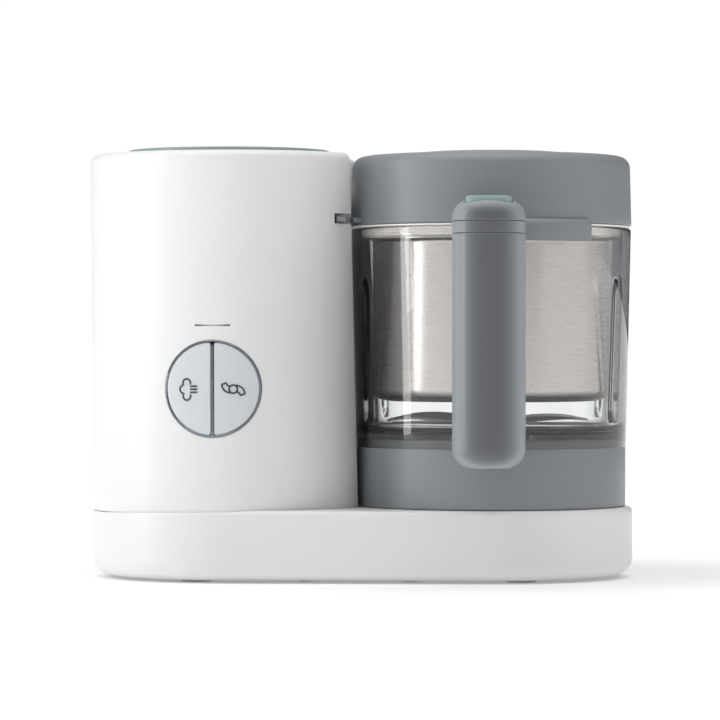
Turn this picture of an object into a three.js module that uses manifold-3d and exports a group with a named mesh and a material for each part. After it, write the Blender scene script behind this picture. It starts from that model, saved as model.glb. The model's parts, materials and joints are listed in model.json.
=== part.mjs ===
// Baby food maker: a steam cooker and blender on one base. Millimetres, +Z up, front is -Y.
// A white tower holds the water tank, the motor and the buttons. A glass jug with a steel
// basket, a blade and a grey lid stands beside it on the same oval base.
import * as THREE from 'three';
import { mergeVertices } from 'three/addons/utils/BufferGeometryUtils.js';
import Module from 'manifold-3d';

const wasm = await Module();
wasm.setup();

// ---- Driving dimensions ----
const GAP = 0.3; // clearance between pieces that meet

const BASE = { radius: 81.2, halfSpan: 75, bottom: 1.5, top: 41, wall: 3, deckUnder: 35.5 };
const BASE_FILLET = { top: 3.3, bottom: 10 };
const FOOT = { radius: 9, top: 5.2, x: 92, y: 52 };

const TOWER = { x: -76.2, bottom: 38.8, top: 242.7, radiusBottom: 79.8, radiusTop: 81.6, wall: 2.6 };
TOWER.fillet = 4.5;
const RECESS = { radiusBottom: 80.4, radiusTop: 89.3, edge: 2.5 };

const JUG_X = 74.5;
const COLLAR = { radius: 77.7, bottom: 41.3, top: 74.6, wall: 3, socket: 25 };
const GLASS = { bottom: 74.9, top: 201, radiusBottom: 78, radiusTop: 80.9, floor: 83.3, under: 80.6 };
const BASKET = { radius: 68.4, bottom: 101.5, top: 194, sheet: 1.2, corner: 7 };
const LID = { bottom: 202.6, top: 242.6, radiusBottom: 81.1, radiusTop: 80.3, wall: 2.6, corner: 7 };
const LID_DISC = { radius: 42, top: 244.9 };

const HANDLE = { width: 40.5, bottom: 66.2, top: 213.7, front: -134, back: -106, corner: 11 };
const BAND = { bottom: 195.2, top: 201.9 };
const BRACKET = { bottom: 192.3, top: 204.8, radius: 84.4, from: 256, to: 313 };
const THUMB = { width: 25.7, depth: 18, top: 215.8, bottom: 208 };

const TAB = { bottom: 203.9, top: 206.6, radius: 90.7, from: 199.2, to: 203.8 };
const NOTCH = { left: -13.6, bottom: 202.8, top: 208.6 };
const PANEL = { radius: 27.4, z: 109.4, turn: -3.2, ring: 1.5, divider: 1.4 };
const ACCENT = { width: 20.4, height: 1.2, z: 145 };

const TANK = { x: -77.4, radius: 50, bottom: 140, top: 239.9, sheet: 1.2, lidRadius: 58.5, lidTop: 246.4 };
const HINGE = { y: 62, z: 244.4, barrel: 1.9, pin: 1, halfLength: 10 };
const STEAM_Z = 222;

const MOTOR = { radius: 34, bottom: 48, top: 122 };
const PULLEY = { bottom: 11, top: 25, motorRadius: 12, driveRadius: 30, flange: 1.5 };
const BELT = { bottom: 13, top: 23, thickness: 2 };

const COARSE = 16;
const MEDIUM = 28;
const FINE = 40;

// The handle reaches further forward than the tower does back, and the tower overhangs the
// base's left end, so the model is moved until the origin lies under the appliance's middle.
const ORIGIN_SHIFT_Y = -(HANDLE.front + TOWER.radiusTop) / 2;
const ORIGIN_SHIFT_X = -(TOWER.x - TOWER.radiusTop + BASE.halfSpan + BASE.radius) / 2;

// ---- Materials ----
function finish(color, roughness, metalness = 0) {
  return { color, roughness, metalness };
}

const WHITE_PLASTIC = finish(0xf2f1ef, 0.42);
const GREY_PLASTIC = finish(0x84898d, 0.45);
const PALE_GREEN = finish(0x9db3b1, 0.45);
const BUTTON_GREY = finish(0xe4e8ea, 0.4);
const DARK_PLASTIC = finish(0x35383b, 0.55);
const SILICONE = finish(0xc9cdcf, 0.8);
const RUBBER = finish(0x2b2c2e, 0.9);
const STEEL = finish(0xbcb6b0, 0.3, 1);
const CHROME = finish(0xdcdcdc, 0.12, 1);
const GLASS_CLEAR = finish(0xeaf2f2, 0.05);
const BOARD_GREEN = finish(0x2f6b45, 0.6);

// ---- Solids ----
// A closed geometry becomes a solid whose faces point out.
function solid(geometry) {
  const bare = geometry.clone();
  bare.deleteAttribute('normal');
  bare.deleteAttribute('uv');
  const merged = mergeVertices(bare, 1e-4);
  const position = merged.getAttribute('position');
  const index = Array.from(merged.getIndex().array);
  const kept = [];
  for (let i = 0; i < index.length; i += 3) {
    const [a, b, c] = [index[i], index[i + 1], index[i + 2]];
    if (a !== b && b !== c && c !== a) kept.push(a, b, c);
  }
  const outward = signedVolume(position, kept) > 0;
  const triVerts = new Uint32Array(kept.length);
  for (let i = 0; i < kept.length; i += 3) {
    triVerts[i] = kept[i];
    triVerts[i + 1] = outward ? kept[i + 1] : kept[i + 2];
    triVerts[i + 2] = outward ? kept[i + 2] : kept[i + 1];
  }
  const vertProperties = new Float32Array(position.array);
  return new wasm.Manifold(new wasm.Mesh({ numProp: 3, vertProperties, triVerts }));
}

function signedVolume(position, index) {
  const [a, b, c] = [new THREE.Vector3(), new THREE.Vector3(), new THREE.Vector3()];
  let total = 0;
  for (let i = 0; i < index.length; i += 3) {
    a.fromBufferAttribute(position, index[i]);
    b.fromBufferAttribute(position, index[i + 1]);
    c.fromBufferAttribute(position, index[i + 2]);
    total += a.dot(b.cross(c));
  }
  return total / 6;
}

// Points are [radius, height] pairs, turned about the vertical line through (x, y).
function turned(points, segments = MEDIUM, x = 0, y = 0) {
  const outline = points.map(([radius, height]) => new THREE.Vector2(radius, height));
  const geometry = new THREE.LatheGeometry(outline, segments);
  geometry.rotateX(Math.PI / 2);
  geometry.translate(x, y, 0);
  return solid(geometry);
}

// A ring has a hole through it, so its outline closes on itself.
function ring(points, segments = MEDIUM, x = 0, y = 0) {
  return turned([...points, points[0]], segments, x, y);
}

function disc(radius, bottom, top, segments = MEDIUM, x = 0, y = 0) {
  return turned([[0, bottom], [radius, bottom], [radius, top], [0, top]], segments, x, y);
}

function tube(inner, outer, bottom, top, segments = MEDIUM, x = 0, y = 0) {
  return ring([[inner, bottom], [outer, bottom], [outer, top], [inner, top]], segments, x, y);
}

function block(low, high) {
  const [sx, sy, sz] = high.map((value, axis) => value - low[axis]);
  const geometry = new THREE.BoxGeometry(sx, sy, sz);
  geometry.translate(low[0] + sx / 2, low[1] + sy / 2, low[2] + sz / 2);
  return solid(geometry);
}

// A flat outline in X and Y, raised from bottom to top.
function raised(shape, bottom, top, curveSegments = 12) {
  const options = { depth: top - bottom, bevelEnabled: false, curveSegments };
  const geometry = new THREE.ExtrudeGeometry(shape, options);
  geometry.translate(0, 0, bottom);
  return solid(geometry);
}

// A flat outline in X and Z, run from the front y to the back y with rounded edges.
function upright(shape, front, back, bevel = 0, curveSegments = 4) {
  const options = {
    depth: back - front - 2 * bevel,
    bevelEnabled: bevel > 0,
    bevelThickness: bevel,
    bevelSize: bevel,
    bevelOffset: -bevel,
    bevelSegments: 2,
    curveSegments,
  };
  const geometry = new THREE.ExtrudeGeometry(shape, options);
  geometry.rotateX(Math.PI / 2);
  geometry.translate(0, back - bevel, 0);
  return solid(geometry);
}

// A rod whose axis runs along X or Y.
function rod(axis, radius, from, to, across, z, segments = COARSE) {
  const geometry = new THREE.CylinderGeometry(radius, radius, to - from, segments);
  if (axis === 'x') geometry.rotateZ(Math.PI / 2);
  const middle = (from + to) / 2;
  geometry.translate(axis === 'x' ? middle : across, axis === 'x' ? across : middle, z);
  return solid(geometry);
}

function roundedRectangle(left, right, bottom, top, radius) {
  const shape = new THREE.Shape();
  shape.moveTo(left + radius, bottom);
  shape.lineTo(right - radius, bottom);
  shape.absarc(right - radius, bottom + radius, radius, -Math.PI / 2, 0);
  shape.lineTo(right, top - radius);
  shape.absarc(right - radius, top - radius, radius, 0, Math.PI / 2);
  shape.lineTo(left + radius, top);
  shape.absarc(left + radius, top - radius, radius, Math.PI / 2, Math.PI);
  shape.lineTo(left, bottom + radius);
  shape.absarc(left + radius, bottom + radius, radius, Math.PI, 1.5 * Math.PI);
  return shape;
}

// Part of a ring about the jug's axis, between two angles in degrees from +X.
function sector(inner, outer, from, to, bottom, top) {
  const start = THREE.MathUtils.degToRad(from);
  const end = THREE.MathUtils.degToRad(to);
  const shape = new THREE.Shape();
  shape.absarc(JUG_X, 0, outer, start, end, false);
  shape.absarc(JUG_X, 0, inner, end, start, true);
  return raised(shape, bottom, top, 12);
}

// A quarter circle of profile points about a centre, in degrees.
function arcPoints(x, z, radius, from, to, steps = 3) {
  const points = [];
  for (let i = 0; i <= steps; i += 1) {
    const angle = THREE.MathUtils.degToRad(from + ((to - from) * i) / steps);
    points.push([x + radius * Math.cos(angle), z + radius * Math.sin(angle)]);
  }
  return points;
}

// An oval solid: the profile turned about both end axes, and the same profile run between them.
function oval(profile, halfSpan, segments = FINE) {
  const left = turned(profile, segments, -halfSpan, 0);
  const right = turned(profile, segments, halfSpan, 0);
  const section = new THREE.Shape();
  profile.forEach(([radius, height], i) => {
    if (i === 0) section.moveTo(radius, height);
    else section.lineTo(radius, height);
  });
  [...profile].reverse().forEach(([radius, height]) => section.lineTo(-radius, height));
  const geometry = new THREE.ExtrudeGeometry(section, { depth: 2 * halfSpan, bevelEnabled: false });
  geometry.rotateX(Math.PI / 2);
  geometry.rotateZ(Math.PI / 2);
  geometry.translate(-halfSpan, 0, 0);
  return left.add(solid(geometry)).add(right);
}

// ---- Scene graph ----
const group = new THREE.Group();
const model = new THREE.Group();
model.position.set(ORIGIN_SHIFT_X, ORIGIN_SHIFT_Y, 0);
group.add(model);

function addPiece(name, manifold, look) {
  const { vertProperties, triVerts } = manifold.getMesh();
  const geometry = new THREE.BufferGeometry();
  geometry.setAttribute('position', new THREE.BufferAttribute(vertProperties, 3));
  geometry.setIndex(new THREE.BufferAttribute(triVerts, 1));
  geometry.computeVertexNormals();
  const mesh = new THREE.Mesh(geometry, new THREE.MeshStandardMaterial(look));
  mesh.name = name;
  model.add(mesh);
}

// ---- Shapes that several pieces share ----
function towerRadius(z) {
  const rise = (z - TOWER.bottom) / (TOWER.top - TOWER.bottom);
  return TOWER.radiusBottom + (TOWER.radiusTop - TOWER.radiusBottom) * rise;
}

function recessRadius(z) {
  const rise = (z - TOWER.bottom) / (TOWER.top - TOWER.bottom);
  return RECESS.radiusBottom + (RECESS.radiusTop - RECESS.radiusBottom) * rise;
}

// A solid cone that follows the tower's outside, moved in by inset.
function towerCone(inset, bottom, top) {
  const points = [
    [0, bottom],
    [towerRadius(bottom) - inset, bottom],
    [towerRadius(top) - inset, top],
    [0, top],
  ];
  return turned(points, FINE, TOWER.x);
}

// The space kept free for the jug, grown by margin towards the tower.
function recessCone(margin, bottom, top) {
  const points = [
    [0, bottom],
    [recessRadius(bottom) + margin, bottom],
    [recessRadius(top) + margin, top],
    [0, top],
  ];
  return turned(points, FINE, JUG_X);
}

// ---- Base ----
function addBase() {
  const { radius, halfSpan, bottom, top, wall, deckUnder } = BASE;
  const low = BASE_FILLET.bottom;
  const high = BASE_FILLET.top;
  const outside = [
    [0, bottom],
    ...arcPoints(radius - low, bottom + low, low, -90, 0),
    ...arcPoints(radius - high, top - high, high, 0, 90),
    [0, top],
  ];
  const cavity = [
    [0, bottom - 1],
    [radius - low, bottom - 1],
    [radius - low, bottom + 3],
    [radius - wall, bottom + low],
    [radius - wall, deckUnder],
    [0, deckUnder],
  ];
  const footprint = towerCone(-GAP, TOWER.bottom - GAP, TOWER.top)
    .subtract(recessCone(-GAP, TOWER.bottom - GAP, TOWER.top));
  const cableEntry = rod('y', 5.5, 60, 100, -40, 20, COARSE);
  const shell = oval(outside, halfSpan)
    .subtract(oval(cavity, halfSpan))
    .subtract(footprint)
    .subtract(disc(40, 30, 50, MEDIUM, TOWER.x))
    .subtract(disc(14, 30, 50, COARSE, JUG_X))
    .subtract(cableEntry);
  addPiece('base_shell', shell, WHITE_PLASTIC);

  const plateRadius = radius - low - GAP;
  const plate = [[0, bottom], [plateRadius, bottom], [plateRadius, bottom + 2.5], [0, bottom + 2.5]];
  let bottomPlate = oval(plate, halfSpan);
  const corners = [[-1, -1], [1, -1], [1, 1], [-1, 1]];
  for (const [sx, sy] of corners) {
    bottomPlate = bottomPlate.subtract(disc(3.5, 0, 10, COARSE, sx * FOOT.x, sy * FOOT.y));
    bottomPlate = bottomPlate.subtract(disc(2.3, 0, 10, COARSE, sx * 30, sy * FOOT.y));
  }
  addPiece('bottom_plate', bottomPlate, WHITE_PLASTIC);

  corners.forEach(([sx, sy], i) => {
    const pad = [
      [0, 0],
      [FOOT.radius - 1, 0],
      [FOOT.radius, bottom - GAP],
      [3.2, bottom - GAP],
      [3.2, FOOT.top],
      [0, FOOT.top],
    ];
    addPiece(`foot_${i + 1}`, turned(pad, COARSE, sx * FOOT.x, sy * FOOT.y), RUBBER);
    const screw = [[0, 0.4], [4, 0.4], [4, bottom - GAP], [1.8, bottom - GAP], [1.8, 12], [0, 12]];
    addPiece(`base_screw_${i + 1}`, turned(screw, 12, sx * 30, sy * FOOT.y), STEEL);
  });

  const gland = rod('y', 5.2, 72, 81, -40, 20).add(rod('y', 7.5, 72, 75, -40, 20));
  addPiece('cord_gland', gland.subtract(rod('y', 3.2, 60, 100, -40, 20)), RUBBER);
}

// ---- Tower ----
function addTower() {
  const { x, bottom, top, wall, fillet, radiusTop } = TOWER;
  const outside = turned([
    [0, bottom],
    [towerRadius(bottom), bottom],
    [towerRadius(top - fillet), top - fillet],
    ...arcPoints(radiusTop - fillet, top - fillet, fillet, 22, 90),
    [0, top],
  ], FINE, x);
  const edge = RECESS.edge;
  const recess = turned([
    [0, bottom - 1],
    [recessRadius(bottom - 1), bottom - 1],
    [recessRadius(top - edge), top - edge],
    [recessRadius(top) + edge * 0.3, top - edge * 0.3],
    [recessRadius(top) + edge, top + GAP],
    [recessRadius(top) + edge, top + 5],
    [0, top + 5],
  ], FINE, JUG_X);
  const corner = block([-24, -62, 190], [2, -24, top]);
  const cavity = towerCone(wall, bottom - 1, top - wall)
    .subtract(recessCone(wall, bottom - 2, top))
    .subtract(corner);
  const groove = sector(60, TAB.radius + 0.5, TAB.from - 0.8, TAB.to + 0.7, NOTCH.bottom, top + 5);
  const notch = block([NOTCH.left, -62, NOTCH.bottom], [0, -27, NOTCH.top]);
  const panelHole = atPanel(rod('y', PANEL.radius + GAP, -95, -60, 0, PANEL.z, MEDIUM));
  const accentSlot = atPanel(block(
    [-ACCENT.width / 2, -95, ACCENT.z - ACCENT.height / 2],
    [ACCENT.width / 2, -60, ACCENT.z + ACCENT.height / 2],
  )).intersect(towerCone(-1, 120, 160).subtract(towerCone(0.8, 119, 161)));
  const hingePocket = block([TANK.x - 17, 57.5, 241], [TANK.x + 17, 65, 250]);
  const hingeFloor = block([TANK.x - 19, 55.5, 238], [TANK.x + 19, 67, 241]);
  const shell = outside
    .subtract(recess)
    .subtract(cavity)
    .add(hingeFloor)
    .subtract(groove)
    .subtract(notch)
    .subtract(panelHole)
    .subtract(accentSlot)
    .subtract(hingePocket)
    .subtract(disc(52, 230, 250, MEDIUM, TANK.x))
    .subtract(rod('x', 6.6, -40, 0, 0, STEAM_Z));
  addPiece('tower_shell', shell, WHITE_PLASTIC);

  const strip = atPanel(block(
    [-ACCENT.width / 2 + 0.1, -95, ACCENT.z - ACCENT.height / 2 + 0.1],
    [ACCENT.width / 2 - 0.1, -60, ACCENT.z + ACCENT.height / 2 - 0.1],
  )).intersect(towerCone(-0.1, 120, 160).subtract(towerCone(0.5, 119, 161)));
  addPiece('accent_strip', strip, CHROME);
}

// The control panel faces a little to the left of straight ahead.
function atPanel(manifold) {
  return manifold.rotate([0, 0, PANEL.turn]).translate([TOWER.x, 0, 0]);
}

// A layer of the tower's wall, from outer proud of it to inner behind it, near the panel.
function wallLayer(proud, depth) {
  const low = PANEL.z - 40;
  const high = PANEL.z + 40;
  return towerCone(-proud, low, high).subtract(towerCone(depth, low - 1, high + 1));
}

function addPanel() {
  const inner = PANEL.radius - PANEL.ring;
  const outline = rod('y', PANEL.radius, -95, -60, 0, PANEL.z, MEDIUM)
    .subtract(rod('y', inner, -96, -59, 0, PANEL.z, MEDIUM));
  const half = PANEL.divider / 2;
  const bar = block([-half, -95, PANEL.z - inner - 0.5], [half, -60, PANEL.z + inner + 0.5]);
  addPiece('button_bezel', atPanel(outline.add(bar)).intersect(wallLayer(0.4, 4)), CHROME);

  const face = rod('y', inner - GAP, -95, -60, 0, PANEL.z, MEDIUM);
  const far = PANEL.radius + 5;
  const sides = [['steam', -1], ['blend', 1]];
  for (const [name, side] of sides) {
    const edges = [side * (half + GAP), side * far].sort((a, b) => a - b);
    const keep = block([edges[0], -96, PANEL.z - far], [edges[1], -59, PANEL.z + far]);
    const button = atPanel(face.intersect(keep)).intersect(wallLayer(0.2, 4));
    addPiece(`${name}_button`, button, BUTTON_GREY);
    const middle = side * 13;
    const body = block([middle - 4, -69, PANEL.z - 4], [middle + 4, -64, PANEL.z + 4]);
    const stem = rod('y', 2, -72.6, -68, middle, PANEL.z, 12);
    addPiece(`${name}_switch`, atPanel(body.add(stem)), DARK_PLASTIC);
  }
  const board = block([-30, -63.7, 78], [30, -62.1, 141]);
  addPiece('control_board', atPanel(board), BOARD_GREEN);
}

function addWaterSystem() {
  const { x, radius, bottom, top, sheet, lidRadius, lidTop } = TANK;
  const tank = turned([
    [0, bottom],
    ...arcPoints(radius - 8, bottom + 8, 8, -90, 0),
    [radius, top - sheet],
    [radius + 4, top - sheet],
    [radius + 4, top],
    [radius - sheet, top],
    ...arcPoints(radius - 8, bottom + 8, 8 - sheet, 0, -90),
    [0, bottom + sheet],
  ], MEDIUM, x);
  addPiece('water_tank', tank, STEEL);
  addPiece('heater_plate', tube(12, 38, 133, bottom - GAP, MEDIUM, x), DARK_PLASTIC);

  const nozzleTip = JUG_X - recessRadius(STEAM_Z) + 5.5;
  const nozzle = rod('x', 6.2, nozzleTip - 12, nozzleTip, 0, STEAM_Z)
    .add(rod('x', 9, nozzleTip - 12, nozzleTip - 9, 0, STEAM_Z))
    .subtract(rod('x', 3.4, nozzleTip - 20, nozzleTip + 1, 0, STEAM_Z));
  addPiece('steam_nozzle', nozzle, SILICONE);

  const lidTopEdge = arcPoints(lidRadius - 1.2, lidTop - 1.2, 1.2, 0, 90, 3);
  const cap = turned([
    [0, 243.9],
    [44.5, 243.9],
    [44.5, 236],
    [46.5, 236],
    [46.5, 243],
    [lidRadius - 0.4, 243],
    ...lidTopEdge,
    [0, lidTop],
  ], FINE, x);
  const { y, z, barrel, pin, halfLength } = HINGE;
  const lug = rod('x', barrel, x - halfLength, x + halfLength, y, z)
    .add(block([x - halfLength, lidRadius - 4, 243.2], [x + halfLength, y, z + barrel]))
    .subtract(rod('x', pin + GAP, x - 30, x + 30, y, z));
  addPiece('tank_lid', cap.add(lug), PALE_GREEN);
  addPiece('tank_lid_seal', tube(46.8, 48.4, 237.5, 242.4, MEDIUM, x), SILICONE);
  const plate = block([x - 16, 58, 241.3], [x + 16, 64.5, z - barrel - GAP]);
  let bracket = plate;
  for (const side of [-1, 1]) {
    const inner = x + side * (halfLength + GAP);
    const outer = x + side * 16;
    const [from, to] = [Math.min(inner, outer), Math.max(inner, outer)];
    bracket = bracket.add(rod('x', barrel, from, to, y, z));
    bracket = bracket.add(block([from, y - barrel, 242], [to, y + barrel, z]));
  }
  bracket = bracket.subtract(rod('x', pin + 0.05, x - 30, x + 30, y, z));
  addPiece('hinge_bracket', bracket, WHITE_PLASTIC);
  addPiece('hinge_pin', rod('x', pin, x - 15.5, x + 15.5, y, z), STEEL);

  const path = new THREE.CatmullRomCurve3([
    new THREE.Vector3(x + 44, 0, 137),
    new THREE.Vector3(x + 52, 0, 140),
    new THREE.Vector3(x + 57, 0, 155),
    new THREE.Vector3(x + 55.5, 0, 180),
    new THREE.Vector3(x + 53, 0, 208),
  ]);
  const section = new THREE.Shape();
  section.absarc(0, 0, 2.2, 0, 2 * Math.PI);
  const pipe = new THREE.ExtrudeGeometry(section, { steps: 10, curveSegments: 5, extrudePath: path });
  addPiece('steam_pipe', solid(pipe), SILICONE);
}

function addDrive() {
  const { radius, bottom, top } = MOTOR;
  const can = turned([
    [0, bottom],
    ...arcPoints(radius - 3, bottom + 3, 3, -90, 0, 2),
    ...arcPoints(radius - 3, top - 3, 3, 0, 90, 2),
    [0, top],
  ], MEDIUM, TOWER.x).subtract(disc(4, 40, 70, 16, TOWER.x));
  addPiece('motor', can, STEEL);
  const bracketPlate = block([TOWER.x - 46, -46, 43.5], [TOWER.x + 46, 46, bottom - GAP]);
  addPiece('motor_bracket', bracketPlate.subtract(disc(10, 40, 60, COARSE, TOWER.x)), STEEL);
  addPiece('motor_shaft', disc(3, 26, 69, 16, TOWER.x), STEEL);
  addPiece('motor_pulley', pulley(PULLEY.motorRadius, TOWER.x), DARK_PLASTIC);
  addPiece('drive_pulley', pulley(PULLEY.driveRadius, JUG_X), DARK_PLASTIC);
  addPiece('drive_shaft', disc(4, PULLEY.top + GAP, 46, 16, JUG_X), STEEL);

  const bearing = tube(4.1, 13.7, 31, 40, COARSE, JUG_X);
  addPiece('drive_bearing', bearing.add(tube(4.1, 18, 31, 35.2, COARSE, JUG_X)), STEEL);
  addPiece('drive_coupling', star(9.5, 46.3, 56), DARK_PLASTIC);

  const path = beltOutline(BELT.thickness + GAP);
  path.holes.push(beltOutline(GAP));
  addPiece('drive_belt', raised(path, BELT.bottom, BELT.top, 14), RUBBER);

  addPiece('interlock_switch', block([-40, -50, 196], [-24.5, -42, 214]), DARK_PLASTIC);
}

// A smooth pulley with a flange above and below the belt.
function pulley(radius, x) {
  const { bottom, top, flange } = PULLEY;
  return turned([
    [0, bottom],
    [radius + 3, bottom],
    [radius + 3, bottom + flange],
    [radius, bottom + flange],
    [radius, top - flange],
    [radius + 3, top - flange],
    [radius + 3, top],
    [0, top],
  ], MEDIUM, x);
}

// The belt's line round both pulleys, a distance outside their rims.
function beltOutline(distance) {
  const small = PULLEY.motorRadius + distance;
  const large = PULLEY.driveRadius + distance;
  const lean = Math.asin((large - small) / (JUG_X - TOWER.x));
  const quarter = Math.PI / 2;
  const outline = new THREE.Shape();
  outline.absarc(JUG_X, 0, large, -quarter - lean, quarter + lean, false);
  outline.absarc(TOWER.x, 0, small, quarter + lean, 3 * quarter - lean, false);
  return outline;
}

// A six-lobed star, the shape that carries the turn from the base into the jug.
function star(radius, bottom, top) {
  const lobes = 6;
  const outline = new THREE.Shape();
  for (let i = 0; i < 2 * lobes; i += 1) {
    const angle = (i * Math.PI) / lobes;
    const reach = i % 2 === 0 ? radius : radius * 0.72;
    const [px, py] = [JUG_X + reach * Math.cos(angle), reach * Math.sin(angle)];
    if (i === 0) outline.moveTo(px, py);
    else outline.lineTo(px, py);
  }
  return raised(outline, bottom, top);
}

// ---- Jug ----
function addJug() {
  const { radius, bottom, top, wall, socket } = COLLAR;
  const collar = ring([
    [socket, bottom],
    [radius - 1, bottom],
    [radius, bottom + 1],
    [radius, top],
    [72.7, top],
    [72.7, GLASS.under - GAP],
    [17, GLASS.under - GAP],
    [17, top - 4],
    [socket, top - 4],
  ], FINE, JUG_X);
  const hollow = ring([
    [socket + wall, bottom - 1],
    [radius - wall, bottom - 1],
    [radius - wall, top - wall],
    [socket + wall, top - wall],
  ], MEDIUM, JUG_X);
  const arm = block([JUG_X - 12, HANDLE.back + GAP, 68.2], [JUG_X + 12, -radius + 3, top]);
  addPiece('collar', collar.subtract(hollow).add(arm), GREY_PLASTIC);

  const glass = ring([
    [15.3, GLASS.under],
    [73, GLASS.under],
    [73, GLASS.bottom],
    [GLASS.radiusBottom, GLASS.bottom],
    [GLASS.radiusTop, GLASS.top],
    [76.3, GLASS.top],
    [71, 110],
    [68.5, 92],
    [65, 86],
    [60, GLASS.floor],
    [15.3, GLASS.floor],
  ], FINE, JUG_X);
  addPiece('glass_bowl', glass, GLASS_CLEAR);

  const bush = ring([
    [4.3, 68],
    [14.5, 68],
    [14.5, 74.3],
    [15, 74.3],
    [15, 85],
    [4.3, 85],
  ], COARSE, JUG_X);
  addPiece('blade_bush', bush, GREY_PLASTIC);
  addPiece('blade_shaft', disc(4, 62, 92, 16, JUG_X), STEEL);
  const cup = disc(14, 47, 61.7, COARSE, JUG_X);
  addPiece('blade_coupling', cup.subtract(star(10.1, 46, 58)), DARK_PLASTIC);
  addPiece('blade', bladeSolid(), STEEL);
  const nut = turned([[0, 92.3], [7, 92.3], [7, 96], [4, 98.5], [0, 98.5]], 6, JUG_X);
  addPiece('blade_nut', nut, STEEL);
}

// Four arms on one hub: two lean up to their tips and two lie low.
function bladeSolid() {
  const thick = 1.6;
  let blade = disc(11, 86, 89.5, COARSE, JUG_X);
  const arms = [[200, 54, 3.2], [335, 54, 3.2], [155, 57, -1.2], [20, 57, -1.2]];
  for (const [turn, reach, rise] of arms) {
    const outline = new THREE.Shape();
    outline.moveTo(0, -7);
    outline.lineTo(reach * 0.7, -7);
    outline.quadraticCurveTo(reach * 0.95, -5, reach, 4);
    outline.lineTo(reach * 0.5, 7);
    outline.lineTo(0, 7);
    outline.closePath();
    const sheet = { depth: thick, bevelEnabled: false, curveSegments: 4 };
    const geometry = new THREE.ExtrudeGeometry(outline, sheet);
    geometry.rotateY(-Math.atan2(rise, reach));
    geometry.rotateZ(THREE.MathUtils.degToRad(turn));
    geometry.translate(JUG_X, 0, rise > 0 ? 87.6 : 86.6);
    blade = blade.add(solid(geometry));
  }
  return blade.subtract(disc(4.2, 80, 100, 16, JUG_X));
}

function addBasket() {
  const { radius, bottom, top, sheet, corner } = BASKET;
  let basket = turned([
    [0, bottom],
    ...arcPoints(radius - corner, bottom + corner, corner, -90, 0),
    [radius, top],
    [74, top],
    [74, top + sheet],
    [radius - sheet, top + sheet],
    ...arcPoints(radius - corner, bottom + corner, corner - sheet, 0, -90),
    [0, bottom + sheet],
  ], FINE, JUG_X);
  const rings = [[22, 5], [46, 10]];
  for (const [distance, count] of rings) {
    for (let i = 0; i < count; i += 1) {
      const angle = (i * 2 * Math.PI) / count;
      const [px, py] = [JUG_X + distance * Math.cos(angle), distance * Math.sin(angle)];
      basket = basket.subtract(disc(2.6, bottom - 1, bottom + 3, 6, px, py));
    }
  }
  addPiece('basket', basket, STEEL);
  addPiece('basket_rim', tube(69, 75.4, top + sheet + GAP, GLASS.top + 0.5, FINE, JUG_X), SILICONE);
}

function addLid() {
  const { bottom, top, radiusBottom, radiusTop, wall, corner } = LID;
  const shell = turned([
    [0, top - wall],
    ...arcPoints(radiusTop - corner, top - corner, corner - wall, 90, 0, 3),
    [radiusBottom - wall, bottom],
    [radiusBottom, bottom],
    ...arcPoints(radiusTop - corner, top - corner, corner, 0, 90),
    [0, top],
  ], FINE, JUG_X).subtract(rod('x', 6.8, JUG_X - 90, JUG_X - 60, 0, STEAM_Z));
  addPiece('lid_shell', shell, GREY_PLASTIC);

  const cover = [
    [0, top + GAP],
    [LID_DISC.radius, top + GAP],
    ...arcPoints(LID_DISC.radius - 1, LID_DISC.top - 1, 1, 0, 90, 3),
    [0, LID_DISC.top],
  ];
  addPiece('lid_cover', turned(cover, MEDIUM, JUG_X), GREY_PLASTIC);

  const plate = disc(radiusBottom - wall - 0.4, bottom + 4, bottom + 6.5, FINE, JUG_X)
    .subtract(disc(5.6, bottom, bottom + 10, COARSE, JUG_X - 40));
  addPiece('lid_plate', plate, GREY_PLASTIC);
  addPiece('lid_gasket', tube(76.6, 80.4, GLASS.top + GAP, bottom - GAP, FINE, JUG_X), SILICONE);
  const tab = sector(radiusBottom + 0.1, TAB.radius, TAB.from, TAB.to, TAB.bottom, TAB.top);
  addPiece('lid_tab', tab, GREY_PLASTIC);

  const across = rod('x', 6.3, JUG_X - 79, JUG_X - 34, 0, STEAM_Z);
  const down = disc(5.2, bottom + 3, STEAM_Z, COARSE, JUG_X - 40);
  const bore = rod('x', 4, JUG_X - 85, JUG_X - 40, 0, STEAM_Z)
    .add(disc(3.6, bottom, STEAM_Z, COARSE, JUG_X - 40));
  addPiece('lid_steam_tube', across.add(down).subtract(bore), SILICONE);
}

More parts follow.
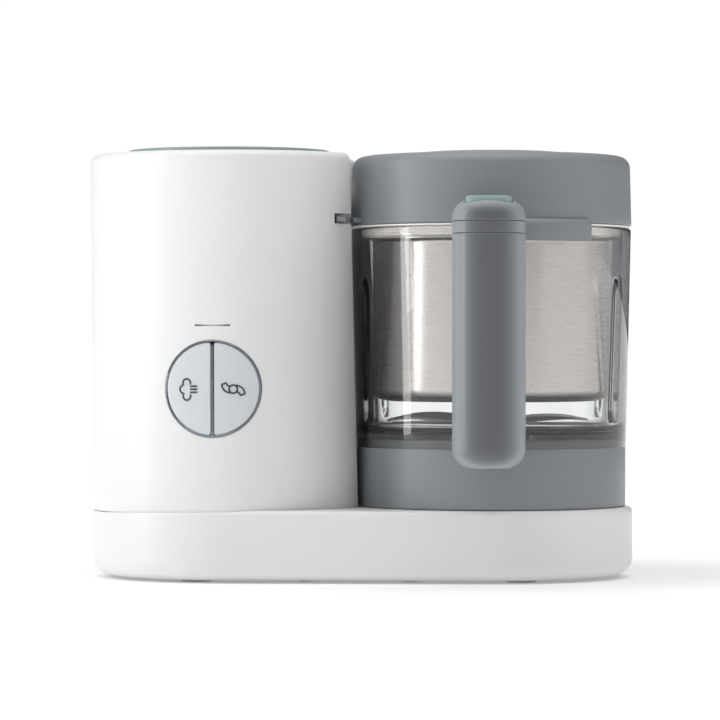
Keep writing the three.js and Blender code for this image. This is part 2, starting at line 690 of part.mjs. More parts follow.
function addHandle() {
  const { width, bottom, top, front, back, corner } = HANDLE;
  const left = JUG_X - width / 2;
  const right = JUG_X + width / 2;
  const whole = roundedRectangle(left, right, bottom, top, corner);
  const bevel = 4;
  const bar = upright(whole, front, back, bevel);
  const inside = roundedRectangle(left + 3, right - 3, bottom + 3, top - 3, corner - 3);
  const hollow = upright(inside, front + 3, back - 6);
  const everywhere = [left - 5, right + 5];

  function slice(low, high) {
    return bar.intersect(block([everywhere[0], front - 5, low], [everywhere[1], back + 5, high]));
  }

  const split = back - 6;
  const grip = slice(0, BAND.bottom - GAP / 2)
    .subtract(hollow)
    .subtract(block([left - 5, split, 0], [right + 5, back + 5, 300]));
  addPiece('handle_grip', grip, GREY_PLASTIC);
  const spine = slice(0, BAND.bottom - GAP / 2)
    .subtract(block([left - 5, front - 5, 0], [right + 5, split + GAP, 300]))
    .subtract(block([JUG_X - 12.3, split, 60], [JUG_X + 12.3, back + 5, 75]));
  addPiece('handle_back', spine, GREY_PLASTIC);

  const wellLow = [JUG_X - THUMB.width / 2 - GAP, front + 4.7, THUMB.bottom - 4];
  const wellHigh = [JUG_X + THUMB.width / 2 + GAP, front + 5.3 + THUMB.depth, 300];
  const rodHole = disc(3, 150, 230, 16, JUG_X, front + 14);
  const cap = slice(BAND.top + GAP / 2, 300).subtract(block(wellLow, wellHigh)).subtract(rodHole);
  addPiece('handle_cap', cap, GREY_PLASTIC);

  const { radius: outer, from, to, bottom: strapLow, top: strapHigh } = BRACKET;
  const strap = sector(LID.radiusBottom + 0.5, outer, from, to, strapLow, strapHigh);
  const arm = block([JUG_X - 15, back - 4, BRACKET.bottom + 3.2], [JUG_X + 15, -79, BAND.top - GAP])
    .subtract(disc(LID.radiusBottom + 0.5, 150, 250, FINE, JUG_X));
  const bracket = slice(BAND.bottom + GAP / 2, BAND.top - GAP / 2)
    .add(arm)
    .add(strap)
    .subtract(rodHole);
  addPiece('handle_bracket', bracket, GREY_PLASTIC);

  const pad = roundedRectangle(
    JUG_X - THUMB.width / 2, JUG_X + THUMB.width / 2, front + 5, front + 5 + THUMB.depth, 4,
  );
  addPiece('thumb_button', raised(pad, THUMB.bottom, THUMB.top, 5), PALE_GREEN);
  const latch = disc(2.5, 176, THUMB.bottom - GAP, 16, JUG_X, front + 14)
    .add(disc(5, 190, 192, 16, JUG_X, front + 14));
  addPiece('latch_rod', latch, STEEL);
  addPiece('latch_spring', tube(2.9, 4.4, 180.3, 189.7, 16, JUG_X, front + 14), STEEL);
  const seat = tube(2.9, 7, 178, 180, 16, JUG_X, front + 14);
  const web = block([JUG_X - 17, front + 8, 174], [JUG_X + 17, front + 20, 180])
    .subtract(disc(2.9, 170, 190, 16, JUG_X, front + 14));
  addPiece('latch_seat', seat.add(web), DARK_PLASTIC);
}

addBase();
addTower();
addPanel();
addWaterSystem();
addDrive();
addJug();
addBasket();
addLid();
addHandle();

export default group;
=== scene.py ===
"""Looks of the baby food maker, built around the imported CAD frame. Front is -Y, +Z is up."""
import json
import math

import bmesh
import bpy
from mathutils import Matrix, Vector


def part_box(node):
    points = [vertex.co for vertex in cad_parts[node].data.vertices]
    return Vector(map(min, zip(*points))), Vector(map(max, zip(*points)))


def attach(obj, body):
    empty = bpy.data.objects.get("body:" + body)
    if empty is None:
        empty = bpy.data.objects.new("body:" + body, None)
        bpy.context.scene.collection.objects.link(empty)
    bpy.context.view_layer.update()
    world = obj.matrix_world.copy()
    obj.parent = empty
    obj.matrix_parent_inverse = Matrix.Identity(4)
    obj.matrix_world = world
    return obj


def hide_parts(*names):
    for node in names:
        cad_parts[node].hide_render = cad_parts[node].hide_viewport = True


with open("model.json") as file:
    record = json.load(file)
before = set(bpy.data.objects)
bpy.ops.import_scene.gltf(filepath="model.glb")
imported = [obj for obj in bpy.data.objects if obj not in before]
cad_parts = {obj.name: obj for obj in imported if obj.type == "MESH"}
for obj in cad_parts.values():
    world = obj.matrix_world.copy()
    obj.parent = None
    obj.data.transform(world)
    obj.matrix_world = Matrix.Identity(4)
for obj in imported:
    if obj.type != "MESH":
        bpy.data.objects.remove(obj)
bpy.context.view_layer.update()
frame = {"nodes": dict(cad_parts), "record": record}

# ---- Places and sizes, in millimetres about the line through both cylinder axes ----
MM = 0.001


def middle(node, axis):
    low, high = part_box(node)
    return (low[axis] + high[axis]) / 2


JUG_X = 74.5
AXIS_X = middle("glass_bowl", 0) - JUG_X * MM
AXIS_Y = middle("glass_bowl", 1)


def span(node):
    """A CAD node's lowest and highest corners, in the units and place that the outlines use."""
    low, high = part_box(node)
    shift = Vector((AXIS_X, AXIS_Y, 0))
    return (Vector(low) - shift) / MM, (Vector(high) - shift) / MM


GLASS_LOW, GLASS_HIGH = span("glass_bowl")
LID_LOW, LID_HIGH = span("lid_shell")
COLLAR_LOW, COLLAR_HIGH = span("collar")
BASE_LOW, BASE_HIGH = span("base_shell")
TOWER_LOW, TOWER_HIGH = span("tower_shell")
TANK_LOW, TANK_HIGH = span("tank_lid")
BASKET_LOW, BASKET_HIGH = span("basket")
RIM_LOW, RIM_HIGH = span("basket_rim")
GRIP_LOW, GRIP_HIGH = span("handle_grip")
BACK_LOW, BACK_HIGH = span("handle_back")
BRACKET_LOW, BRACKET_HIGH = span("handle_bracket")
CAP_LOW, CAP_HIGH = span("handle_cap")
THUMB_LOW, THUMB_HIGH = span("thumb_button")
BEZEL_LOW, BEZEL_HIGH = span("button_bezel")
ACCENT_LOW, ACCENT_HIGH = span("accent_strip")
TAB_LOW, TAB_HIGH = span("lid_tab")
COVER_LOW, COVER_HIGH = span("lid_cover")
GASKET_LOW, GASKET_HIGH = span("lid_gasket")

TOWER_TOP_RADIUS = 81.56
TOWER_FOOT_RADIUS = 79.8
TOWER_X = TOWER_LOW.x + TOWER_TOP_RADIUS
RECESS_FOOT_RADIUS = 80.4
RECESS_TOP_RADIUS = 89.3
TANK_X = (TANK_LOW.x + TANK_HIGH.x) / 2
STEAM_Z = 222
PANEL_TURN = math.radians(-3.2)

TURNS = 192
SHARP_ANGLE = math.radians(32)
MERGE_DISTANCE = 1e-6


# ---- Mesh helpers ----
def in_scene(name, data):
    thing = bpy.data.objects.new(name, data)
    bpy.context.scene.collection.objects.link(thing)
    return thing


def make_object(name, points, faces):
    """A mesh object from points in millimetres about the cylinder axes' line."""
    mesh = bpy.data.meshes.new(name)
    placed = [(x * MM + AXIS_X, y * MM + AXIS_Y, z * MM) for x, y, z in points]
    mesh.from_pydata(placed, [], faces)
    piece = in_scene(name, mesh)
    tidy_mesh(piece)
    return piece


def tidy_mesh(piece):
    """Faces point out, edges flatter than the sharp angle shade smoothly."""
    shape = bmesh.new()
    shape.from_mesh(piece.data)
    bmesh.ops.remove_doubles(shape, verts=shape.verts, dist=MERGE_DISTANCE)
    bmesh.ops.recalc_face_normals(shape, faces=shape.faces)
    for face in shape.faces:
        face.smooth = True
    for edge in shape.edges:
        edge.smooth = len(edge.link_faces) == 2 and edge.calc_face_angle(0) < SHARP_ANGLE
    shape.to_mesh(piece.data)
    shape.free()


def arc(x, z, radius, start, end, steps=8):
    """Points along an arc about (x, z), from one angle in degrees to another."""
    angles = [math.radians(start + (end - start) * i / steps) for i in range(steps + 1)]
    return [(x + radius * math.cos(a), z + radius * math.sin(a)) for a in angles]


def turned(name, profile, x=None, y=0.0, turns=TURNS, warp=None):
    """Turns a profile of (radius, height) about a vertical axis. Points on the axis become one."""
    x = JUG_X if x is None else x
    points, rings = [], []
    for radius, height in profile:
        if radius < 1e-6:
            rings.append([len(points)] * turns)
            points.append((x, y, height))
            continue
        rings.append(list(range(len(points), len(points) + turns)))
        for i in range(turns):
            angle = 2 * math.pi * i / turns
            reach = radius if warp is None else warp(radius, height, angle)
            points.append((x + reach * math.cos(angle), y + reach * math.sin(angle), height))
    closed = profile[0][0] > 1e-6
    return make_object(name, points, ring_faces(rings, closed))


def ring_faces(rings, closed):
    """Faces between neighbouring rings of point numbers. Points that repeat are left out."""
    faces = []
    pairs = list(zip(rings, rings[1:]))
    if closed:
        pairs.append((rings[-1], rings[0]))
    for lower, upper in pairs:
        count = len(lower)
        for i in range(count):
            j = (i + 1) % count
            corners = []
            for k in (lower[i], lower[j], upper[j], upper[i]):
                if k not in corners:
                    corners.append(k)
            if len(corners) > 2:
                faces.append(corners)
    return faces


def lofted(name, loops, closed=False):
    """Skins loops of equal length. An open stack is closed by a flat face at each end."""
    points, rings = [], []
    for loop in loops:
        rings.append(list(range(len(points), len(points) + len(loop))))
        points.extend(loop)
    faces = ring_faces(rings, closed)
    if not closed:
        faces.append(rings[0])
        faces.append(rings[-1])
    return make_object(name, points, faces)


def evaluated(piece):
    """Applies the piece's modifiers to its mesh."""
    graph = bpy.context.evaluated_depsgraph_get()
    mesh = bpy.data.meshes.new_from_object(piece.evaluated_get(graph))
    piece.modifiers.clear()
    piece.data = mesh
    tidy_mesh(piece)
    return piece


def cut(piece, *cutters):
    """Takes each cutter out of the piece, and deletes the cutter."""
    for cutter in cutters:
        step = piece.modifiers.new("cut", "BOOLEAN")
        step.operation = "DIFFERENCE"
        step.solver = "EXACT"
        step.object = cutter
        evaluated(piece)
        bpy.data.objects.remove(cutter)
    return piece


def bevelled(piece, width, segments=3, angle=40):
    step = piece.modifiers.new("bevel", "BEVEL")
    step.width = width * MM
    step.segments = segments
    step.limit_method = "ANGLE"
    step.angle_limit = math.radians(angle)
    step.harden_normals = False
    return evaluated(piece)


def block(name, low, high):
    across, along, up = zip(low, high)
    corners = [(x, y, z) for z in up for y in along for x in across]
    faces = [(0, 1, 3, 2), (4, 5, 7, 6), (0, 1, 5, 4), (2, 3, 7, 6), (0, 2, 6, 4), (1, 3, 7, 5)]
    return make_object(name, corners, faces)


def rod_along(name, axis, radius, start, end, across, z, turns=64):
    """A level rod along x or y, from start to end, at a place across it and a height."""
    loops = []
    for along in (start, end):
        loop = []
        for i in range(turns):
            angle = 2 * math.pi * i / turns
            side, up = across + radius * math.cos(angle), z + radius * math.sin(angle)
            loop.append((along, side, up) if axis == "x" else (side, along, up))
        loops.append(loop)
    return lofted(name, loops)


def joined(name, pieces):
    """Several separate solids in one object."""
    shape = bmesh.new()
    for piece in pieces:
        shape.from_mesh(piece.data)
        bpy.data.objects.remove(piece)
    mesh = bpy.data.meshes.new(name)
    shape.to_mesh(mesh)
    shape.free()
    whole = in_scene(name, mesh)
    tidy_mesh(whole)
    return whole


# ---- Materials ----
GRAIN_SCALE, GRAIN_STRENGTH, GRAIN_DEPTH = 2600, 0.12, 0.00006
SHADE_VARIATION = 0.03
GLOSS_VARIATION = 0.04


def principled(name, color, roughness, metallic=0.0, **sockets):
    material = bpy.data.materials.new(name)
    material.use_nodes = True
    shader = material.node_tree.nodes["Principled BSDF"]
    shader.inputs["Base Color"].default_value = (*color, 1)
    shader.inputs["Roughness"].default_value = roughness
    shader.inputs["Metallic"].default_value = metallic
    for socket, value in sockets.items():
        shader.inputs[socket.replace("_", " ")].default_value = value
    return material, shader


def noise(material, scale, detail=3.0, stretch=(1, 1, 1)):
    """Noise in the piece's own space, which stays put when the piece moves."""
    nodes, links = material.node_tree.nodes, material.node_tree.links
    place = nodes.new("ShaderNodeTexCoord")
    mapping = nodes.new("ShaderNodeMapping")
    mapping.inputs["Scale"].default_value = stretch
    texture = nodes.new("ShaderNodeTexNoise")
    texture.inputs["Scale"].default_value = scale
    texture.inputs["Detail"].default_value = detail
    links.new(place.outputs["Object"], mapping.inputs["Vector"])
    links.new(mapping.outputs["Vector"], texture.inputs["Vector"])
    return texture.outputs["Fac"]


def mapped(tree, value, start, end, low=0.0, high=1.0, interpolation="LINEAR"):
    """Maps a value from start and end to low and high, and holds it there beyond them."""
    node = tree.nodes.new("ShaderNodeMapRange")
    node.interpolation_type = interpolation
    node.inputs["From Min"].default_value = start
    node.inputs["From Max"].default_value = end
    node.inputs["To Min"].default_value = low
    node.inputs["To Max"].default_value = high
    tree.links.new(value, node.inputs["Value"])
    return node.outputs["Result"]


def spread(material, value, low, high):
    """Maps the middle of a noise value's range, where most of it lies, to low to high."""
    return mapped(material.node_tree, value, 0.3, 0.7, low, high)


def tint(material, value, at_zero, at_one):
    """A colour that goes from one to the other as a value goes from 0 to 1."""
    node = material.node_tree.nodes.new("ShaderNodeMix")
    node.data_type = "RGBA"
    node.inputs["A"].default_value = (*at_zero, 1)
    node.inputs["B"].default_value = (*at_one, 1)
    material.node_tree.links.new(value, node.inputs["Factor"])
    return node.outputs["Result"]


def bump(material, shader, value, strength, distance):
    node = material.node_tree.nodes.new("ShaderNodeBump")
    node.inputs["Strength"].default_value = strength
    node.inputs["Distance"].default_value = distance
    links = material.node_tree.links
    links.new(value, node.inputs["Height"])
    links.new(node.outputs["Normal"], shader.inputs["Normal"])


def moulded_plastic(name, color, roughness, grain=GRAIN_STRENGTH):
    """Satin moulded plastic: a fine spark-eroded grain, and slow changes of shade and gloss."""
    material, shader = principled(name, color, roughness)
    links = material.node_tree.links
    slow = noise(material, 9, 2)
    dark = [c * (1 - SHADE_VARIATION) for c in color]
    light = [min(1, c * (1 + SHADE_VARIATION)) for c in color]
    links.new(tint(material, slow, dark, light), shader.inputs["Base Color"])
    gloss = spread(
        material, noise(material, 60, 4), roughness - GLOSS_VARIATION, roughness + GLOSS_VARIATION
    )
    links.new(gloss, shader.inputs["Roughness"])
    bump(material, shader, noise(material, GRAIN_SCALE, 2), grain, GRAIN_DEPTH)
    return material


def edge_on(material, start, end):
    """Goes from 0 to 1 as a surface turns from facing the eye to being seen edge-on."""
    weight = material.node_tree.nodes.new("ShaderNodeLayerWeight")
    weight.inputs["Blend"].default_value = 0.5
    return mapped(material.node_tree, weight.outputs["Facing"], start, end)


def soft_touch_painted_sheen(name, dark, light, roughness=0.34):
    """Soft-touch plastic with painted light: painted shade face-on, and a painted sheen towards its
    edges.
    """
    material, shader = principled(name, dark, roughness)
    links = material.node_tree.links
    # Painted shade and highlight: the colour runs from dark face-on to pale at the edges, standing in
    # for a dark front reflection and bright side reflections.
    links.new(tint(material, edge_on(material, 0.0, 0.45), dark, light), shader.inputs["Base Color"])
    bump(material, shader, noise(material, GRAIN_SCALE, 2), GRAIN_STRENGTH, GRAIN_DEPTH)
    return material


def silicone_painted_glow(name, color):
    """Silicone, with a faint painted glow that brightens it where it sits in shade under the lid and
    behind the glass.
    """
    material = moulded_plastic(name, color, 0.45, grain=0.06)
    shader = material.node_tree.nodes["Principled BSDF"]
    # Painted light: a weak cream emission, though the silicone is no lamp.
    shader.inputs["Emission Color"].default_value = (1, 0.97, 0.94, 1)
    shader.inputs["Emission Strength"].default_value = 0.15
    return material


def facing_down(material):
    """Goes from 0 to 1 as a surface turns from upright to facing down."""
    nodes, links = material.node_tree.nodes, material.node_tree.links
    surface = nodes.new("ShaderNodeNewGeometry")
    split = nodes.new("ShaderNodeSeparateXYZ")
    links.new(surface.outputs["Normal"], split.inputs["Vector"])
    return mapped(material.node_tree, split.outputs["Z"], -0.05, -0.6)


def brushed_steel(name, color, roughness, across):
    """Steel brushed round the Z axis, with painted shade where it faces down. across is how tight the
    lines lie along X, Y, Z.
    """
    material, shader = principled(
        name, color, roughness, 1.0, Anisotropic=0.55, Anisotropic_Rotation=0.25
    )
    nodes, links = material.node_tree.nodes, material.node_tree.links
    tangent = nodes.new("ShaderNodeTangent")
    tangent.direction_type = "RADIAL"
    tangent.axis = "Z"
    links.new(tangent.outputs["Tangent"], shader.inputs["Tangent"])
    lines = noise(material, 40, 5, across)
    links.new(spread(material, lines, roughness - 0.04, roughness + 0.05), shader.inputs["Roughness"])
    lit = tint(material, lines, [c * 0.95 for c in color], color)
    # Painted shade: where the surface faces down, its colour is mixed towards near black, standing in
    # for the shadow below it.
    shade = nodes.new("ShaderNodeMix")
    shade.data_type = "RGBA"
    shade.inputs["B"].default_value = (0.05, 0.05, 0.05, 1)
    links.new(facing_down(material), shade.inputs["Factor"])
    links.new(lit, shade.inputs["A"])
    links.new(shade.outputs["Result"], shader.inputs["Base Color"])
    return material


def clear_glass(name):
    """Clear pressed glass, faintly uneven, with painted shade greying it where it is seen edge-on."""
    face_on, painted_edge_shade = (0.975, 0.98, 0.98), (0.06, 0.062, 0.068)
    material, shader = principled(name, face_on, 0.0, IOR=1.5, Transmission_Weight=1.0)
    nodes, links = material.node_tree.nodes, material.node_tree.links
    # Painted shade: the colour darkens towards the edges, standing in for the dark reflections there.
    shade = tint(material, edge_on(material, 0.35, 0.64), face_on, painted_edge_shade)
    links.new(shade, shader.inputs["Base Color"])
    body = nodes.new("ShaderNodeVolumeAbsorption")
    body.inputs["Color"].default_value = (0.3, 0.34, 0.37, 1)
    body.inputs["Density"].default_value = 15
    links.new(body.outputs["Volume"], nodes["Material Output"].inputs["Volume"])
    bump(material, shader, noise(material, 25, 1), 0.02, 0.001)
    return material


def polished_metal(name, color, roughness):
    """Polished metal with faint smears of duller shine."""
    material, shader = principled(name, color, roughness, 1.0)
    links = material.node_tree.links
    smears = noise(material, 220, 3)
    links.new(spread(material, smears, roughness * 0.7, roughness * 1.5), shader.inputs["Roughness"])
    return material


def board_material(name):
    """Green circuit board with paler tracks."""
    board, track = (0.01, 0.09, 0.035), (0.05, 0.2, 0.09)
    material, shader = principled(name, board, 0.4)
    lines = noise(material, 300, 0, (1, 1, 0.2))
    material.node_tree.links.new(tint(material, lines, board, track), shader.inputs["Base Color"])
    return material


WHITE = moulded_plastic("white_satin", (0.83, 0.828, 0.82), 0.38)
GREY = moulded_plastic("grey_satin", (0.235, 0.25, 0.266), 0.4)
# The grip's dark and pale colours are painted shade face-on and painted sheen at its edges.
GRIP_GREY = soft_touch_painted_sheen("grip_grey", (0.115, 0.121, 0.13), (0.29, 0.315, 0.34))
PALE_GREEN = moulded_plastic("pale_green_satin", (0.27, 0.36, 0.37), 0.4)
BUTTON = moulded_plastic("button_satin", (0.66, 0.7, 0.73), 0.4)
DARK = moulded_plastic("dark_moulded", (0.03, 0.033, 0.036), 0.5)
INK = moulded_plastic("icon_ink", (0.05, 0.05, 0.055), 0.5)
SILICONE = silicone_painted_glow("silicone_painted_glow", (0.9, 0.875, 0.84))
RUBBER = moulded_plastic("matt_rubber", (0.42, 0.42, 0.42), 0.75, 0.3)
STEEL = brushed_steel("brushed_steel", (0.66, 0.615, 0.588), 0.27, (2, 2, 260))
BLADE_STEEL = brushed_steel("ground_steel", (0.3, 0.3, 0.31), 0.3, (60, 4, 4))
CHROME = polished_metal("dark_chrome", (0.2, 0.21, 0.23), 0.16)
GLASS = clear_glass("clear_glass")
BOARD = board_material("circuit_board")

BY_SLOT = {
    "white_plastic": WHITE,
    "grey_plastic": GREY,
    "pale_green_plastic": PALE_GREEN,
    "button_plastic": BUTTON,
    "dark_plastic": DARK,
    "silicone": SILICONE,
    "rubber": RUBBER,
    "steel": STEEL,
    "chrome": CHROME,
    "clear_glass": GLASS,
    "circuit_board": BOARD,
}
NODE_SLOT = {row["node"]: row["material_slot"] for row in frame["record"]["subparts"]}


def dress(piece, material, body, slot, *nodes):
    """Gives a piece its material and its body, and hides the CAD nodes that it stands for. slot is not
    used.
    """
    piece.data.materials.clear()
    piece.data.materials.append(material)
    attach(piece, body)
    if nodes:
        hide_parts(*nodes)
    return piece


def dress_cad_nodes():
    for name, node in frame["nodes"].items():
        node.data.materials.clear()
        node.data.materials.append(BY_SLOT[NODE_SLOT[name]])


# ---- Tower ----
OUTER_STEPS, HOLLOW_STEPS, CORNER_STEPS = 239, 79, 13
CORNER_ROUNDING = 2.2


def between(foot, top, z):
    """A size that changes evenly from the tower's foot to its top."""
    rise = (z - TOWER_LOW.z) / (TOWER_HIGH.z - TOWER_LOW.z)
    return foot + (top - foot) * rise


def around(x, y, radius, angle, z):
    return (x + radius * math.cos(angle), y + radius * math.sin(angle), z)


def tower_outline(z, outer_inset, recess_inset):
    """The tower's level outline: most of a circle, hollowed on its right for the jug."""
    outer = between(TOWER_FOOT_RADIUS, TOWER_TOP_RADIUS, z) - outer_inset
    hollow = between(RECESS_FOOT_RADIUS, RECESS_TOP_RADIUS, z) + recess_inset
    distance = JUG_X - TOWER_X
    reach, away = outer - CORNER_ROUNDING, hollow + CORNER_ROUNDING
    along = (reach**2 - away**2 + distance**2) / (2 * distance)
    aside = math.sqrt(reach**2 - along**2)
    on_outer = math.atan2(aside, along)
    on_hollow = math.atan2(aside, along - distance)
    towards = math.atan2(aside, distance - along)
    corner_x, full = TOWER_X + along, 2 * math.pi

    def swept(x, y, radius, start, end, steps, skip=0):
        numbers = range(skip, steps + 1 - skip)
        return [around(x, y, radius, start + (end - start) * i / steps, z) for i in numbers]

    return (
        swept(TOWER_X, 0, outer, on_outer, full - on_outer, OUTER_STEPS)
        + swept(corner_x, -aside, CORNER_ROUNDING, -on_outer, towards, CORNER_STEPS, skip=1)
        + swept(JUG_X, 0, hollow, full - on_hollow, on_hollow, HOLLOW_STEPS)
        + swept(corner_x, aside, CORNER_ROUNDING, -towards, on_outer, CORNER_STEPS, skip=1)
    )


def ring_like(outline, radius, z):
    """A circle about the tank's axis with one point for each point of the outline."""
    return [around(TANK_X, 0, radius, math.atan2(y, x - TANK_X), z) for x, y, _ in outline]


def sector_cutter(name, inner, outer, start, end, bottom, top, steps=12):
    """A block curved about the jug's axis, between two radii and two angles in degrees."""
    angles = [math.radians(start + (end - start) * i / steps) for i in range(steps + 1)]
    path = [(outer, a) for a in angles] + [(inner, a) for a in reversed(angles)]
    loops = [[around(JUG_X, 0, radius, a, z) for radius, a in path] for z in (bottom, top)]
    return lofted(name, loops)


TOWER_FILLET = 4.5
TOWER_WALL, RECESS_WALL = 2.6, 5.5
TOWER_ROWS, FILLET_STEPS = 24, 12
RECESS_SHARE = 0.6
RIM_RISE = 0.9
LIP_GAP, LIP_EDGE = 0.5, 0.4
TANK_MOUTH, MOUTH_EDGE = 52.0, 0.5
NOTCH_FLOOR, NOTCH_TOP = 202.8, 208.6
TAB_FROM, TAB_TO = 199.2, 203.8
TAB_REACH = JUG_X - TAB_LOW.x


def tower_levels(low, high):
    """Heights up the tower's outside, with how far its outline is drawn in at each."""
    levels = [(low, 0.5), (low + 0.15, 0.15), (low + 0.5, 0)]
    for i in range(1, TOWER_ROWS):
        levels.append((low + (high - TOWER_FILLET - low) * i / TOWER_ROWS, 0))
    for i in range(FILLET_STEPS + 1):
        angle = math.radians(90 * i / FILLET_STEPS)
        level = high - TOWER_FILLET + TOWER_FILLET * math.sin(angle)
        levels.append((level, TOWER_FILLET * (1 - math.cos(angle))))
    return levels


def make_tower():
    """The housing, with a low rim round the tank lid's seat, and the catch in the notch by the jug."""
    low, high = TOWER_LOW.z, TOWER_HIGH.z + RIM_RISE
    outside = [tower_outline(z, inset, inset * RECESS_SHARE) for z, inset in tower_levels(low, high)]
    top = outside[-1]
    seat, ceiling = TOWER_HIGH.z, high - TOWER_WALL - RIM_RISE
    lip = (TANK_HIGH.x - TANK_LOW.x) / 2 + LIP_GAP
    mouth = [
        ring_like(top, lip + LIP_EDGE, high),
        ring_like(top, lip, high - LIP_EDGE),
        ring_like(top, lip, seat),
        ring_like(top, TANK_MOUTH + MOUTH_EDGE, seat),
        ring_like(top, TANK_MOUTH, seat - MOUTH_EDGE),
        ring_like(top, TANK_MOUTH, ceiling),
    ]
    inside = [tower_outline(z, TOWER_WALL, RECESS_WALL) for z in (ceiling, low)]
    body = lofted("tower_body", outside + mouth + inside, closed=True)
    groove = sector_cutter(
        "groove", 60, TAB_REACH + 0.9, TAB_FROM - 0.8, TAB_TO + 0.7, NOTCH_FLOOR, high + 5
    )
    body = cut(
        body,
        panel_rod("panel_hole", (BEZEL_HIGH.z - BEZEL_LOW.z) / 2 + 0.15),
        groove,
        block("notch", (-13.6, -62, NOTCH_FLOOR), (0, -27, NOTCH_TOP)),
        rod_along("steam_hole", "x", 6.4, -40, 0, 0, STEAM_Z),
        block("hinge_pocket", (TANK_X - 17, 57.5, 241), (TANK_X + 17, 65, 250)),
    )
    dress(body, WHITE, "root", "white_plastic", "tower_shell")
    catch = block("lock_catch", (-12.4, -51.5, 204.1), (-6.8, -46, 206.7))
    dress(bevelled(catch, 0.5), GREY, "root", "grey_plastic")


# ---- Control panel ----
FACE_RINGS = 12
RING_WIDTH, RING_BEVEL = 1.1, 0.35
RING_SHOULDER, RING_PROUD = 0.1, 0.38
BAR_HALF, BUTTON_GAP = 0.7, 0.3
PLATE_DEPTH = 3.5
LINE_WIDTH = 1.0
# Arcs of the steam icon: middle across and up, radius, and the angles from and to.
CLOUD = [(-14.7, 3.3, 2.2, -25, 214), (-16.2, -0.3, 2.4, 98, 269), (-14.6, -4.2, 2.2, 137, 385)]
JET_FROM, JET_TO, JETS = -12.6, -8.6, (1.4, -0.3, -2.0)
# The blade icon: a hub, and one wing's outline from the hub's middle. The other wing mirrors it.
HUB = (11.7, -0.2, 2.3)
WING = [
    (-1.7, 1.5), (-3.0, 2.0), (-4.2, 3.4), (-5.2, 3.0), (-6.4, 2.4), (-5.4, -0.2), (-3.4, -1.7),
    (-1.4, -2.1),
]


def panel_rod(name, radius):
    """A rod that faces the way the control panel does, long enough to go through the wall."""
    rod = rod_along(name, "y", radius, -95, -60, 0, (BEZEL_LOW.z + BEZEL_HIGH.z) / 2, 128)
    return turn_to_panel(rod)


def turn_to_panel(piece):
    """Moves a piece from the cylinder axes' line to the tower, turned the way the panel faces."""
    cos, sin = math.cos(PANEL_TURN), math.sin(PANEL_TURN)
    for vertex in piece.data.vertices:
        x, y = vertex.co.x - AXIS_X, vertex.co.y - AXIS_Y
        vertex.co.x = x * cos - y * sin + TOWER_X * MM + AXIS_X
        vertex.co.y = x * sin + y * cos + AXIS_Y
    return piece


def on_wall(x, z, proud):
    """A point on the tower's wall in front of the panel, before it is turned to face it."""
    radius = between(TOWER_FOOT_RADIUS, TOWER_TOP_RADIUS, z) + proud
    return (x, -math.sqrt(radius**2 - x**2), z)


def wall_plate(name, outline, proud, depth, edge=0.35):
    """A plate of the given (x, z) outline that follows the wall, with a softened front edge."""
    centre_x = sum(x for x, _ in outline) / len(outline)
    centre_z = sum(z for _, z in outline) / len(outline)

    def drawn_in(x, z, scale, out):
        return on_wall(centre_x + (x - centre_x) * scale, centre_z + (z - centre_z) * scale, out)

    loops = []
    for inset, out in ((0, -depth), (0, proud - edge), (edge * 0.3, proud - edge * 0.3), (edge, proud)):
        loop = []
        for x, z in outline:
            away = math.hypot(x - centre_x, z - centre_z)
            loop.append(drawn_in(x, z, 1 - inset / away, out))
        loops.append(loop)
    front = [(x, z) for x, _, z in loops[-1]]
    for k in range(1, FACE_RINGS):
        loops.append([drawn_in(x, z, 1 - k / FACE_RINGS, proud) for x, z in front])
    return turn_to_panel(lofted(name, loops))


def make_bezel(z, outer, inner):
    """The bright ring round the two buttons, and the bar between them."""
    profile = [
        (outer, -PLATE_DEPTH), (outer, RING_SHOULDER), (outer - RING_BEVEL, RING_PROUD),
        (inner + RING_BEVEL, RING_PROUD), (inner, RING_SHOULDER), (inner, -PLATE_DEPTH),
    ]
    angles = [2 * math.pi * i / 128 for i in range(128)]
    loops = [
        [on_wall(radius * math.cos(a), z + radius * math.sin(a), out) for a in angles]
        for radius, out in profile
    ]
    ring = turn_to_panel(lofted("bezel_ring", loops, closed=True))
    bar_shape = bar_outline(BAR_HALF, z, inner + BUTTON_GAP)
    bar = wall_plate("bezel_bar", bar_shape, 0.3, PLATE_DEPTH, 0.2)
    dress(joined("panel_bezel", [ring, bar]), CHROME, "root", "chrome", "button_bezel")


def make_panel():
    z = (BEZEL_LOW.z + BEZEL_HIGH.z) / 2
    outer = (BEZEL_HIGH.z - BEZEL_LOW.z) / 2
    inner = outer - RING_WIDTH
    make_bezel(z, outer, inner)
    for side, name in ((-1, "steam"), (1, "blend")):
        shape = half_moon(side, inner - BUTTON_GAP, BAR_HALF + BUTTON_GAP, z)
        face = wall_plate(f"{name}_face", shape, 0.15, PLATE_DEPTH)
        dress(face, BUTTON, f"{name}_button_body", "button_plastic", f"{name}_button")
    make_icons(z)
    make_accent_line()


def make_accent_line():
    """The thin bright line over the panel, with round ends."""
    low, high = ACCENT_LOW.z, ACCENT_HIGH.z
    width = (ACCENT_HIGH.x - ACCENT_LOW.x) / 2
    middle_z, half = (low + high) / 2, (high - low) / 2
    outline = []
    for start, end, x in ((-90, 90, width - 0.5), (90, 270, -width + 0.5)):
        outline += [(x + px, pz) for px, pz in arc(0, middle_z, half, start, end, 6)]
    strip = wall_plate("accent", outline, 0.1, 0.4, 0.1)
    dress(strip, CHROME, "root", "chrome", "accent_strip")


def bar_outline(half, z, reach):
    rows = [reach * (2 * i / 24 - 1) for i in range(25)]
    return [(half, z + row) for row in rows] + [(-half, z + row) for row in reversed(rows)]


